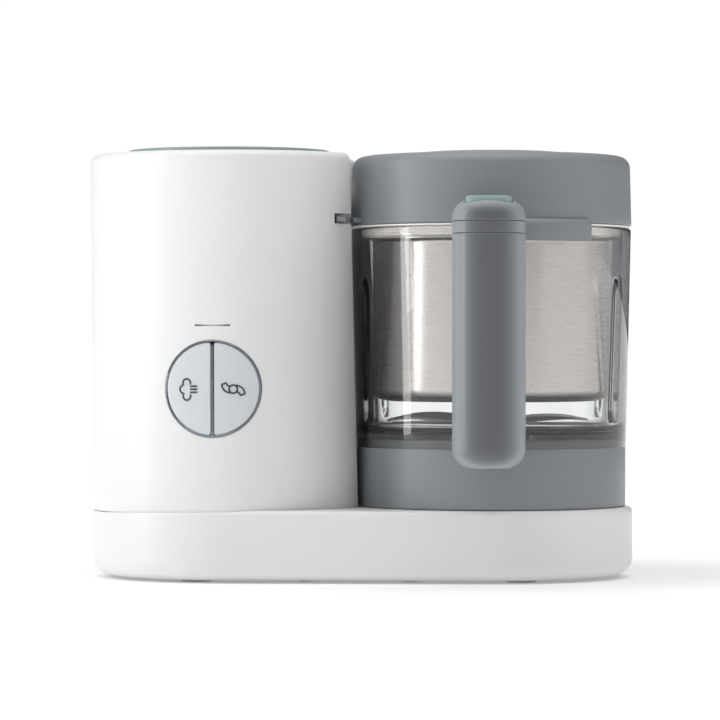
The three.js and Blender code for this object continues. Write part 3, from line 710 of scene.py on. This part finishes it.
def half_moon(side, radius, gap, z):
    """Half a disc beside the divider, with small rounded corners."""
    rounding = 1.2
    centre_x = gap + rounding
    centre_z = math.sqrt((radius - rounding) ** 2 - centre_x**2)
    corner = math.degrees(math.atan2(centre_z, centre_x))
    outline = arc(0, 0, radius, -corner, corner, 60)
    outline += arc(centre_x, centre_z, rounding, corner, 180, 8)[1:]
    outline += [(gap, centre_z * (1 - 2 * i / 30)) for i in range(1, 30)]
    outline += arc(centre_x, -centre_z, rounding, 180, 360 - corner, 8)[:-1]
    points = [(side * x, z + up) for x, up in outline]
    return points if side > 0 else points[::-1]


def line_on_button(name, points, closed=False):
    """A printed line, as a slightly raised stroke that follows the button's face."""
    curve = bpy.data.curves.new(name, "CURVE")
    curve.dimensions = "3D"
    curve.bevel_depth = LINE_WIDTH / 2 * MM
    curve.bevel_resolution = 2
    spline = curve.splines.new("POLY")
    spline.points.add(len(points) - 1)
    for target, (x, z) in zip(spline.points, points):
        px, py, pz = on_wall(x, z, LINE_WIDTH / 4 - 0.1)
        target.co = (px * MM + AXIS_X, py * MM + AXIS_Y, pz * MM, 1)
    spline.use_cyclic_u = closed
    stroke = in_scene(name, curve)
    graph = bpy.context.evaluated_depsgraph_get()
    mesh = bpy.data.meshes.new_from_object(stroke.evaluated_get(graph))
    bpy.data.objects.remove(stroke)
    return turn_to_panel(in_scene(name, mesh))


def smooth(points, steps=5):
    """A soft curve through the given points."""
    full = [points[0], *points, points[-1]]

    def eased(p, q, r, u, t):
        curved = (2 * p - 5 * q + 4 * r - u) * t**2 + (3 * q - p - 3 * r + u) * t**3
        return 0.5 * (2 * q + (r - p) * t + curved)

    curve = []
    for corners in zip(full, full[1:], full[2:], full[3:]):
        for i in range(steps):
            curve.append(tuple(eased(*along, i / steps) for along in zip(*corners)))
    return curve + [points[-1]]


def make_icons(z):
    """A puff of steam on one button and a two-winged blade on the other."""
    strokes = []
    for i, (x, up, radius, start, end) in enumerate(CLOUD):
        strokes.append(line_on_button(f"puff_{i}", arc(x, z + up, radius, start, end, 14)))
    for i, up in enumerate(JETS):
        strokes.append(line_on_button(f"jet_{i}", [(JET_FROM, z + up), (JET_TO, z + up)]))
    dress(joined("steam_icon", strokes), INK, "steam_button_body", "dark_plastic")
    x, up, radius = HUB
    strokes = [line_on_button("hub_mark", arc(x, z + up, radius, 0, 345, 24), True)]
    for i, side in enumerate((1, -1)):
        wing = smooth([(x + side * along, z + up + side * across) for along, across in WING])
        strokes.append(line_on_button(f"wing_{i}", wing))
    dress(joined("blade_icon", strokes), INK, "blend_button_body", "dark_plastic")


# ---- Tank lid ----
TANK_LID_UNDER, PLUG_TOP, PLUG_FOOT = 243.0, 243.9, 236
PLUG_INNER, PLUG_OUTER = 44.5, 46.5
HINGE_Y, HINGE_Z, BARREL_RADIUS, HINGE_HALF = 61, 244.4, 1.9, 10


def make_tank_cover():
    """The round lid over the water tank, with its sealing ring below and its hinge at the back."""
    radius = (TANK_HIGH.x - TANK_LOW.x) / 2
    top, under = TANK_HIGH.z, TANK_LID_UNDER
    profile = [
        (0, PLUG_TOP), (PLUG_INNER, PLUG_TOP), (PLUG_INNER, PLUG_FOOT), (PLUG_OUTER, PLUG_FOOT),
        (PLUG_OUTER, under), (radius - 0.5, under),
    ]
    profile += arc(radius - 0.9, under + 0.9, 0.9, -60, 0, 4)
    profile += arc(radius - 1.3, top - 1.3, 1.3, 0, 90, 8)
    profile += [(radius - 5, top), (radius - 6.5, top - 0.35), (0, top - 0.35)]
    cover = turned("tank_cover", profile, TANK_X)
    left, right = TANK_X - HINGE_HALF, TANK_X + HINGE_HALF
    lug = rod_along("lug", "x", BARREL_RADIUS, left, right, HINGE_Y, HINGE_Z, 48)
    tongue = bevelled(block("tongue", (left, radius - 1.2, 243.2), (right, HINGE_Y, 246.2)), 0.3)
    lid = joined("tank_cover_piece", [cover, lug, tongue])
    dress(lid, PALE_GREEN, "tank_lid_body", "pale_green_plastic", "tank_lid")


# ---- Base ----
BASE_FOOT_ROUND, BASE_TOP_ROUND = 10, 3.3
BASE_WALL, BASE_DECK = 4, 5
SEAT_GAP = 0.25


def stadium(radius, z):
    """The base's level outline: two half circles joined by straight sides."""
    half = BASE_HIGH.x - (BASE_HIGH.y - BASE_LOW.y) / 2
    loop = []
    for side, start in ((1, -90), (-1, 90)):
        for i in range(97):
            angle = math.radians(start + 180 * i / 96)
            loop.append((side * half + radius * math.cos(angle), radius * math.sin(angle), z))
    return loop


def tower_seat_cutter():
    levels = (TOWER_LOW.z - 0.3, BASE_HIGH.z + 6)
    return lofted("seat", [tower_outline(z, -SEAT_GAP, -SEAT_GAP) for z in levels])


def make_base():
    """The oval base: a shell, with a deck in its top that the tower sinks into."""
    radius = (BASE_HIGH.y - BASE_LOW.y) / 2
    low, high = BASE_LOW.z, BASE_HIGH.z
    foot, crown, under = BASE_FOOT_ROUND, BASE_TOP_ROUND, high - BASE_DECK
    profile = arc(radius - foot, low + foot, foot, -90, 0, 14)
    profile += arc(radius - crown, high - crown, crown, 0, 90, 10)
    profile += [
        (30, high), (30, under), (radius - BASE_WALL, under), (radius - BASE_WALL, low + foot),
        (radius - foot, low + 3),
    ]
    body = lofted("base_body", [stadium(r, z) for r, z in profile], closed=True)
    deck = lofted("deck", [stadium(30.5, under), stadium(30.5, high)])
    body = cut(body, tower_seat_cutter(), rod_along("cable_hole", "y", 5.5, 60, 100, -40, 20))
    drive_hole = turned("drive_hole", [(0, 30), (14, 30), (14, 50), (0, 50)])
    deck = cut(deck, tower_seat_cutter(), drive_hole)
    dress(joined("base_housing", [body, deck]), WHITE, "root", "white_plastic", "base_shell")


# ---- Jug ----
RIB_ANGLES = (22, 158, 202, 338)
RIB_DEPTH, RIB_HALF_WIDTH = 1.9, 3.2
RIB_FOOT, RIB_TOP, RIB_FADE = 92, 170, 7
GLASS_UNDER, GLASS_FLOOR = 80.6, 83.4
GLASS_FOOT_RADIUS = 78.0
MOUTH_RADIUS, INNER_FOOT_RADIUS, INNER_FOOT = 76.3, 70.3, 90
LIP_OUTSIDE, LIP_INSIDE = 1.6, 1.2
FLOOR_CORNER = 6
SHAFT_RADIUS = 15.3


def glass_wall(radius, height, angle):
    """Four low upright ribs stand out of the glass's inner face."""
    outer_face = radius > MOUTH_RADIUS + 0.2
    if outer_face or height > RIB_TOP + 6 or height < RIB_FOOT:
        return radius
    reach = 0.0
    fade = min(1.0, max(0.0, (RIB_TOP - height) / RIB_FADE))
    for rib in RIB_ANGLES:
        off = (math.degrees(angle) - rib + 180) % 360 - 180
        reach = max(reach, math.exp(-((off / RIB_HALF_WIDTH) ** 4)) * math.sqrt(fade))
    return radius - RIB_DEPTH * reach


def make_glass():
    low, high = GLASS_LOW.z, GLASS_HIGH.z
    foot = GLASS_FOOT_RADIUS
    top = (GLASS_HIGH.x - GLASS_LOW.x) / 2
    profile = [
        (SHAFT_RADIUS, GLASS_UNDER), (72.2, GLASS_UNDER), (73, GLASS_UNDER - 0.8), (73, low),
        (foot - 1.2, low),
    ]
    profile += arc(foot - 1.2, low + 1.2, 1.2, -90, 0, 6)
    for i in range(1, 20):
        profile.append((foot + (top - foot) * i / 20, low + (high - low) * i / 20))
    profile += arc(top - LIP_OUTSIDE, high - LIP_OUTSIDE, LIP_OUTSIDE, 0, 90, 6)
    profile += arc(MOUTH_RADIUS + LIP_INSIDE, high - LIP_INSIDE, LIP_INSIDE, 90, 180, 6)
    for i in range(1, 31):
        t = i / 30
        radius = MOUTH_RADIUS + (INNER_FOOT_RADIUS - MOUTH_RADIUS) * t
        profile.append((radius, high - LIP_INSIDE + (INNER_FOOT - high + LIP_INSIDE) * t))
    corner_x = INNER_FOOT_RADIUS - 0.1 - FLOOR_CORNER
    profile += arc(corner_x, GLASS_FLOOR + FLOOR_CORNER, FLOOR_CORNER, -3, -90, 12)
    profile.append((SHAFT_RADIUS, GLASS_FLOOR))
    bowl = turned("glass_jug", profile, turns=288, warp=glass_wall)
    dress(bowl, GLASS, "jug", "clear_glass", "glass_bowl")


def make_collar():
    """The grey ring under the glass, with the arm that carries the handle's foot."""
    low, high = COLLAR_LOW.z, COLLAR_HIGH.z
    radius = (COLLAR_HIGH.x - COLLAR_LOW.x) / 2
    profile = [(25, low + 0.4), (28, low), (radius - 0.8, low)]
    profile += arc(radius - 0.8, low + 0.8, 0.8, -90, 0, 5)
    profile += arc(radius - 0.7, high - 0.7, 0.7, 0, 90, 5)
    profile += [
        (72.6, high), (72.6, GLASS_UNDER - 0.7), (72.2, GLASS_UNDER - 0.3), (17, GLASS_UNDER - 0.3),
        (17, high - 4), (25, high - 4),
    ]
    ring = turned("collar_ring", profile)
    near, far = BACK_HIGH.y + 0.35, -radius + 2.5
    arm = block("collar_arm", (JUG_X - 12, near, 68.3), (JUG_X + 12, far, high - 0.1))
    collar = joined("jug_collar", [ring, bevelled(arm, 1.0)])
    dress(collar, GREY, "jug", "grey_plastic", "collar")


# ---- Basket ----
CUP_RADIUS, CUP_SHEET, CUP_CORNER = 68.4, 0.9, 7.0
CUP_FLARE, FLANGE_RADIUS, FLANGE_HALF = 2, 73.4, 0.6
# Rings of holes in the floor: distance from the middle, and how many.
HOLE_RINGS = ((10, 6), (22, 12), (34, 18), (46, 24), (57, 30))
HOLE_RADIUS = 2
RIM_LINES = 3


def make_cup():
    low, high = BASKET_LOW.z, BASKET_HIGH.z
    radius, corner = CUP_RADIUS, CUP_CORNER
    flare_x, flare_z = radius + CUP_FLARE, high - 3.2
    profile = [(0, low)] + arc(radius - corner, low + corner, corner, -90, 0, 12)
    profile += [(radius, high - 3.5)] + arc(flare_x, flare_z, CUP_FLARE, 180, 90, 6)
    profile += arc(FLANGE_RADIUS, high - FLANGE_HALF, FLANGE_HALF, -90, 90, 8)
    profile += arc(flare_x, flare_z, CUP_FLARE + CUP_SHEET + 0.3, 90, 180, 6)
    profile += arc(radius - corner, low + corner, corner - CUP_SHEET, 0, -90, 12)
    profile += [(0, low + CUP_SHEET)]
    cup = turned("basket_cup", profile)
    drill = [(0, low - 2), (HOLE_RADIUS, low - 2), (HOLE_RADIUS, low + 4), (0, low + 4)]
    holes = []
    for distance, count in HOLE_RINGS:
        for i in range(count):
            x, y, _ = around(JUG_X, 0, distance, 2 * math.pi * i / count, 0)
            holes.append(turned(f"hole_{distance}_{i}", drill, x, y, 16))
    cup = cut(cup, joined("holes", holes))
    dress(cup, STEEL, "basket_body", "steel", "basket")


def make_rim():
    """The soft ring round the basket's mouth, with raised lines round its outside."""
    low, high = RIM_LOW.z, RIM_HIGH.z
    outer = (RIM_HIGH.x - RIM_LOW.x) / 2
    profile = [(69, low + 0.5), (69.5, low), (outer - 1.6, low)]
    profile += arc(outer - 1.6, low + 1, 1, -90, 0, 5)
    step = (high - low - 2) / RIM_LINES
    for i in range(RIM_LINES):
        foot = low + 1.4 + step * i
        profile += [
            (outer - 1.4, foot - 0.2), (outer - 1.4, foot),
            (outer - 0.1, foot + 0.4), (outer - 0.1, foot + step - 0.6),
        ]
    profile += [(outer - 0.6, high), (69.5, high), (69, high - 0.5)]
    dress(turned("basket_ring", profile), SILICONE, "basket_body", "silicone", "basket_rim")


# ---- Blade ----
ARM_START, ARM_THICKNESS, ARM_STEPS = 4, 1.5, 66
# Each arm: heading in degrees, reach, rise, height at the hub, droop at the tip, and pitch.
ARMS = (
    (196, 62, 6.2, 86.6, 9, 0.4),
    (16, 62, 4.5, 86.6, 9, 0.4),
    (158, 62, 0, 86.2, 0, 0.2),
    (338, 62, 0, 86.2, 0, 0.2),
)


def arm_outline(reach):
    """A leaf with teeth along its leading edge, swept back towards its tip."""
    lead, trail = [], []
    for i in range(ARM_STEPS + 1):
        t = i / ARM_STEPS
        x = ARM_START + (reach - ARM_START) * t
        half = 8.2 * (1 - t) ** 0.55 * (0.75 + 0.5 * math.sin(math.pi * min(1, t * 1.15)))
        sweep = 5.5 * t**2.2
        tooth = 0.9 * ((i % 4) / 4) if 0.2 < t < 0.97 else 0
        lead.append((x, sweep + half * 0.9 - tooth))
        trail.append((x, sweep - half * 0.65))
    return lead + trail[::-1][1:]


def blade_arm(name, heading, reach, rise, root_z, droop, pitch):
    """One arm, bent along its length and pitched across it."""
    cos, sin = math.cos(math.radians(heading)), math.sin(math.radians(heading))
    loops = []
    for thickness in (0.0, ARM_THICKNESS):
        loop = []
        for x, y in arm_outline(reach):
            t = x / reach
            lift = rise * math.sin(min(1.0, t * 1.15) * math.pi / 2)
            z = root_z + lift - droop * max(0, t - 0.7) ** 1.5
            z -= pitch * y * min(1, 3 * t)
            loop.append((JUG_X + x * cos - y * sin, x * sin + y * cos, z + thickness))
        loops.append(loop)
    return lofted(name, loops)


def make_blade():
    """The four-armed blade, and the domed nut that holds it down."""
    hub = [(4.3, 86)] + arc(10.4, 86.6, 0.6, -90, 0, 4) + arc(10.4, 88.9, 0.6, 0, 90, 4) + [(4.3, 89.5)]
    parts = [turned("blade_hub", hub, turns=64)]
    for i, arm in enumerate(ARMS):
        parts.append(blade_arm(f"arm_{i}", *arm))
    dress(joined("blade_piece", parts), BLADE_STEEL, "blades", "steel", "blade")
    nut = lofted("nut", [
        [around(JUG_X, 0, radius, math.pi * i / 3, z) for i in range(6)]
        for radius, z in ((6.4, 92.3), (6.4, 95.4), (5.2, 96.6))
    ])
    dome = turned("dome", [(0, 96.5), (4.6, 96.5), (4.2, 97.6), (2.6, 98.3), (0, 98.5)], turns=48)
    dress(joined("blade_nut_piece", [bevelled(nut, 0.3), dome]), STEEL, "blades", "steel", "blade_nut")


# ---- Lid ----
LID_TOP_RADIUS, LID_CORNER, LID_WALL = 80.3, 7.0, 2.6
GASKET_OUTER, GASKET_INNER = 79.9, 77.1


def make_lid():
    low, high = LID_LOW.z, LID_HIGH.z
    foot, top = (LID_HIGH.x - LID_LOW.x) / 2, LID_TOP_RADIUS
    corner, wall = LID_CORNER, LID_WALL
    profile = [(0, high - wall)] + arc(top - corner, high - corner, corner - wall, 90, 0, 8)
    profile += [(foot - wall, low + 0.3), (foot - wall + 0.3, low), (foot - 0.6, low)]
    profile += arc(foot - 0.6, low + 0.6, 0.6, -90, 0, 5)
    for i in range(1, 6):
        profile.append((foot + (top - foot) * i / 6, low + (high - corner - low) * i / 6))
    profile += arc(top - corner, high - corner, corner, 0, 90, 16) + [(0, high)]
    inlet = rod_along("inlet", "x", 6.8, JUG_X - 90, JUG_X - 60, 0, STEAM_Z)
    body = cut(turned("lid_body", profile), inlet)
    dress(body, GREY, "lid", "grey_plastic", "lid_shell")

    low, high = COVER_LOW.z, COVER_HIGH.z
    radius = (COVER_HIGH.x - COVER_LOW.x) / 2
    profile = [(0, low), (radius - 0.4, low)] + arc(radius - 0.4, low + 0.4, 0.4, -90, 0, 3)
    profile += arc(radius - 1.2, high - 1.2, 1.2, 0, 90, 8)
    profile += [(radius - 7, high), (radius - 8, high - 0.25), (0, high - 0.25)]
    dress(turned("lid_cover_disc", profile), GREY, "lid", "grey_plastic", "lid_cover")

    low, high = GASKET_LOW.z, GASKET_HIGH.z
    middle_z, half = (low + high) / 2, (high - low) / 2
    profile = arc(GASKET_OUTER, middle_z, half, -90, 90, 8)
    profile += arc(GASKET_INNER, middle_z, half, 90, 270, 8)
    dress(turned("lid_seal", profile), SILICONE, "lid", "silicone", "lid_gasket")

    tab = sector_cutter(
        "lock_tab", foot - 0.4, TAB_REACH - 0.2, TAB_FROM, TAB_TO, TAB_LOW.z, TAB_HIGH.z
    )
    dress(bevelled(tab, 0.5), GREY, "lid", "grey_plastic", "lid_tab")


# ---- Handle ----
SECTION_STEPS, END_STEPS, SIDE_STEPS = 48, 12, 10
FRONT_POWER, BACK_POWER = 2.5, 4.0
FOOT_ROUND, CAP_ROUND, SEAM_ROUND, BAND_ROUND = 10.5, 9.5, 0.5, 0.4
SEAM_GAP = 0.3
WELL_GAP = 0.4


def handle_section(z, half, front, split, back, part):
    """The handle's level outline: a full rounded front, a flatter back, split where they meet."""
    loop = []
    reach = split - front if part == "front" else back - split
    power = FRONT_POWER if part == "front" else BACK_POWER
    for i in range(SECTION_STEPS + 1):
        angle = math.pi * i / SECTION_STEPS
        cos, sin = math.cos(angle), math.sin(angle)
        x = half * math.copysign(abs(cos) ** (2 / power), cos)
        y = reach * abs(sin) ** (2 / power)
        loop.append((JUG_X + x, split - y if part == "front" else split + y, z))
    return loop


def handle_levels(low, high, low_round, high_round):
    """Heights with how far the outline is drawn in there. Rounded ends are quarter circles."""
    angles = [math.radians(90 * i / END_STEPS) for i in range(END_STEPS + 1)]
    foot = [(low + low_round * (1 - math.sin(a)), low_round * (1 - math.cos(a))) for a in angles]
    side = [
        (low + low_round + (high - high_round - low - low_round) * i / SIDE_STEPS, 0)
        for i in range(1, SIDE_STEPS)
    ]
    end = high - high_round
    head = [(end + high_round * math.sin(a), high_round * (1 - math.cos(a))) for a in angles]
    return foot[::-1] + side + head


def handle_part(name, low, high, low_round, high_round, part):
    """The front, the back or the whole of the handle, between two heights."""
    half = (GRIP_HIGH.x - GRIP_LOW.x) / 2
    front, back = GRIP_LOW.y, BACK_HIGH.y
    split = GRIP_HIGH.y if part != "back" else BACK_LOW.y
    loops = []
    for z, inset in handle_levels(low, high, low_round, high_round):
        front_z = front + inset * 0.75
        back_z = back - inset * 0.35
        if part == "whole":
            loop = handle_section(z, half - inset, front_z, split, back_z, "front")
            loop += handle_section(z, half - inset, front_z, split, back_z, "back")[::-1][1:-1]
        else:
            loop = handle_section(z, half - inset, front_z, split, back_z, part)
        loops.append(loop)
    return lofted(name, loops)


def make_handle():
    low, seam = GRIP_LOW.z, GRIP_HIGH.z
    for part, node in (("front", "handle_grip"), ("back", "handle_back")):
        half = handle_part(f"grip_{part}", low, seam, FOOT_ROUND, SEAM_ROUND, part)
        dress(half, GRIP_GREY, "jug", "grey_plastic", node)
    cap = handle_part("grip_cap", CAP_LOW.z, CAP_HIGH.z, BAND_ROUND, CAP_ROUND, "whole")
    well = thumb_outline(WELL_GAP)
    cap = cut(cap, lofted("well", [[(x, y, z) for x, y in well] for z in (THUMB_LOW.z - 3, 230)]))
    dress(cap, GRIP_GREY, "jug", "grey_plastic", "handle_cap")


def make_bracket():
    """The band under the handle's cap, and the arm from it to the strap round the jug's mouth."""
    foot, head = GRIP_HIGH.z + SEAM_GAP, CAP_LOW.z - SEAM_GAP
    band = handle_part("band", foot, head, BAND_ROUND, BAND_ROUND, "whole")
    strap = bevelled(strap_solid(), 0.5, 3, 30)
    arm = block("arm", (JUG_X - 14, BACK_HIGH.y - 4, 195.8), (JUG_X + 14, -82.2, 201.3))
    bracket = joined("handle_bracket_piece", [strap, bevelled(arm, 1)])
    dress(bracket, GREY, "jug", "grey_plastic", "handle_bracket")
    dress(band, GRIP_GREY, "jug", "grey_plastic", "handle_bracket")


def make_thumb_button():
    pad = thumb_outline(0)
    low, high = THUMB_LOW.z, THUMB_HIGH.z
    centre_x, centre_y = (sum(values) / len(pad) for values in zip(*pad))
    crown = (
        (1, low), (1, high - 1.6), (0.985, high - 0.9), (0.95, high - 0.35), (0.88, high - 0.08),
        (0.6, high),
    )
    loops = []
    for scale, z in crown:
        loops.append([
            (centre_x + (x - centre_x) * scale, centre_y + (y - centre_y) * scale, z) for x, y in pad
        ])
    dress(lofted("thumb_pad", loops), PALE_GREEN, "thumb", "pale_green_plastic", "thumb_button")


def thumb_outline(grow):
    """A rounded rectangle round the thumb button, larger by grow on every side."""
    half_x = (THUMB_HIGH.x - THUMB_LOW.x) / 2 + grow
    half_y = (THUMB_HIGH.y - THUMB_LOW.y) / 2 + grow
    centre_x, centre_y = (THUMB_LOW.x + THUMB_HIGH.x) / 2, (THUMB_LOW.y + THUMB_HIGH.y) / 2
    loop = []
    for i in range(64):
        angle = 2 * math.pi * i / 64
        cos, sin = math.cos(angle), math.sin(angle)
        loop.append((
            centre_x + half_x * math.copysign(abs(cos) ** 0.5, cos),
            centre_y + half_y * math.copysign(abs(sin) ** 0.5, sin),
        ))
    return loop


STRAP_INNER, STRAP_OUTER, STRAP_LEDGE = 81.6, 84.3, 2.6
STRAP_FROM, STRAP_TO, STRAP_STEPS = 256, 313, 48


def strap_solid():
    """The bracket's strap round the jug's mouth, with a sloped ledge along its top."""
    low, high = BRACKET_LOW.z, BRACKET_HIGH.z
    section = (
        (STRAP_INNER, low), (STRAP_OUTER, low), (STRAP_OUTER, high - STRAP_LEDGE),
        (STRAP_INNER + 1.1, high), (STRAP_INNER, high),
    )
    loops = []
    for i in range(STRAP_STEPS + 1):
        angle = math.radians(STRAP_FROM + (STRAP_TO - STRAP_FROM) * i / STRAP_STEPS)
        loops.append([around(JUG_X, 0, radius, angle, z) for radius, z in section])
    return lofted("strap", loops)


# ---- Studio ----
FLOOR_SIZE = 30.0
FLOOR_GLOW = ((0.1, 0.15), (0.7, 0.5))
LIGHT_AIM_HEIGHT = 0.13
# How bright the studio is by compass direction, in degrees from the front towards the right.
ROUND_STUDIO = [
    (-180, 1.0), (-171.5, 1.0), (-167, 0.16), (-108, 0.14), (-92, 0.4), (-80, 0.75), (-42, 0.7),
    (-24, 0.06), (44, 0.08), (54, 0.66), (102, 0.66), (110, 0.16), (171.5, 0.16), (176, 1.0),
    (180, 1.0),
]
# How far the studio turns to plain pale grey with height, from level to straight up.
OVERHEAD = [(0.0, 0.0), (0.45, 0.0), (0.8, 1.0), (1.0, 1.0)]
OVERHEAD_GREY = (0.8, 0.8, 0.8, 1)
STUDIO_STRENGTH = 1.02
CAMERA_DISTANCE, CAMERA_AZIMUTH, CAMERA_HEIGHT = 2.257, math.radians(2.5), 0.1345
AIM_X, AIM_HEIGHT = -0.0006, 0.1252


def make_stage():
    """A wide pale floor that glows more with distance, so that it meets the backdrop unseen."""
    size = FLOOR_SIZE
    corners = [(-size, -size, 0), (size, -size, 0), (size, size, 0), (-size, size, 0)]
    mesh = bpy.data.meshes.new("floor")
    mesh.from_pydata(corners, [], [(0, 1, 2, 3)])
    floor = in_scene("floor", mesh)
    material, shader = principled("pale_floor", (0.9, 0.9, 0.9), 0.95)
    shader.inputs["Emission Color"].default_value = (1, 1, 1, 1)
    nodes, links = material.node_tree.nodes, material.node_tree.links
    place = nodes.new("ShaderNodeTexCoord")
    away = nodes.new("ShaderNodeVectorMath")
    away.operation = "LENGTH"
    links.new(place.outputs["Object"], away.inputs[0])
    (near, dim), (far, bright) = FLOOR_GLOW
    glow = mapped(material.node_tree, away.outputs["Value"], near, far, dim, bright, "SMOOTHSTEP")
    links.new(glow, shader.inputs["Emission Strength"])
    floor.data.materials.append(material)


def softbox(name, azimuth, elevation, distance, width, height, power):
    """A white area light that faces the machine, at angles in degrees from its front."""
    light = bpy.data.lights.new(name, "AREA")
    light.shape = "RECTANGLE"
    light.size, light.size_y = width, height
    light.energy = power
    lamp = in_scene(name, light)
    a, e = math.radians(azimuth), math.radians(elevation)
    back = Vector((math.sin(a) * math.cos(e), -math.cos(a) * math.cos(e), math.sin(e)))
    lamp.location = Vector((0, AXIS_Y, LIGHT_AIM_HEIGHT)) + back * distance
    lamp.rotation_mode = "QUATERNION"
    lamp.rotation_quaternion = back.to_track_quat("Z", "Y")


def ramp(tree, value, low, high, stops):
    """A grey level that follows a value from low to high. Each stop is a value and a level."""
    node = tree.nodes.new("ShaderNodeValToRGB")
    tree.links.new(mapped(tree, value, low, high), node.inputs["Fac"])
    elements = node.color_ramp.elements
    places = [(at - low) / (high - low) for at, _ in stops]
    elements[0].position, elements[1].position = places[0], places[-1]
    for position in places[1:-1]:
        elements.new(position)
    for element, (_, level) in zip(elements, stops):
        element.color = (level, level, level, 1)
    return node.outputs["Color"]


def make_world():
    """A white backdrop, bright sides, and dim gaps that draw the edges of glass and steel."""
    world = bpy.data.worlds.new("studio")
    bpy.context.scene.world = world
    world.use_nodes = True
    nodes, links = world.node_tree.nodes, world.node_tree.links
    place = nodes.new("ShaderNodeTexCoord")
    split = nodes.new("ShaderNodeSeparateXYZ")
    links.new(place.outputs["Generated"], split.inputs["Vector"])
    ahead = nodes.new("ShaderNodeMath")
    ahead.operation = "MULTIPLY"
    ahead.inputs[1].default_value = -1
    links.new(split.outputs["Y"], ahead.inputs[0])
    compass = nodes.new("ShaderNodeMath")
    compass.operation = "ARCTAN2"
    links.new(split.outputs["X"], compass.inputs[0])
    links.new(ahead.outputs["Value"], compass.inputs[1])
    stops = [(math.radians(at), level) for at, level in ROUND_STUDIO]
    level = ramp(world.node_tree, compass.outputs["Value"], -math.pi, math.pi, stops)
    height = ramp(world.node_tree, split.outputs["Z"], 0.0, 1.0, OVERHEAD)
    both = nodes.new("ShaderNodeMix")
    both.data_type = "RGBA"
    both.inputs["B"].default_value = OVERHEAD_GREY
    links.new(height, both.inputs["Factor"])
    links.new(level, both.inputs["A"])
    links.new(both.outputs["Result"], nodes["Background"].inputs["Color"])
    nodes["Background"].inputs["Strength"].default_value = STUDIO_STRENGTH


def make_camera():
    camera = bpy.data.cameras.new("camera")
    camera.lens = 194.6
    camera.sensor_width = 36
    camera.clip_end = 100
    holder = in_scene("camera", camera)
    aside = CAMERA_DISTANCE * math.sin(CAMERA_AZIMUTH)
    ahead = CAMERA_DISTANCE * math.cos(CAMERA_AZIMUTH)
    holder.location = (aside, AXIS_Y - ahead, CAMERA_HEIGHT)
    aim = Vector((AIM_X, AXIS_Y, AIM_HEIGHT)) - holder.location
    holder.rotation_mode = "QUATERNION"
    holder.rotation_quaternion = aim.to_track_quat("-Z", "Y")
    bpy.context.scene.camera = holder


def make_studio():
    make_stage()
    make_world()
    softbox("key_left", -74, 8, 1.3, 0.3, 1.4, 7.4)
    softbox("top", 0, 78, 1.5, 1.6, 1.2, 9)
    bpy.context.scene.view_settings.view_transform = "Standard"
    bpy.context.scene.view_settings.look = "None"


make_camera()
dress_cad_nodes()
make_tower()
make_panel()
make_tank_cover()
make_base()
make_glass()
make_collar()
make_cup()
make_rim()
make_blade()
make_lid()
make_handle()
make_bracket()
make_thumb_button()
make_studio()
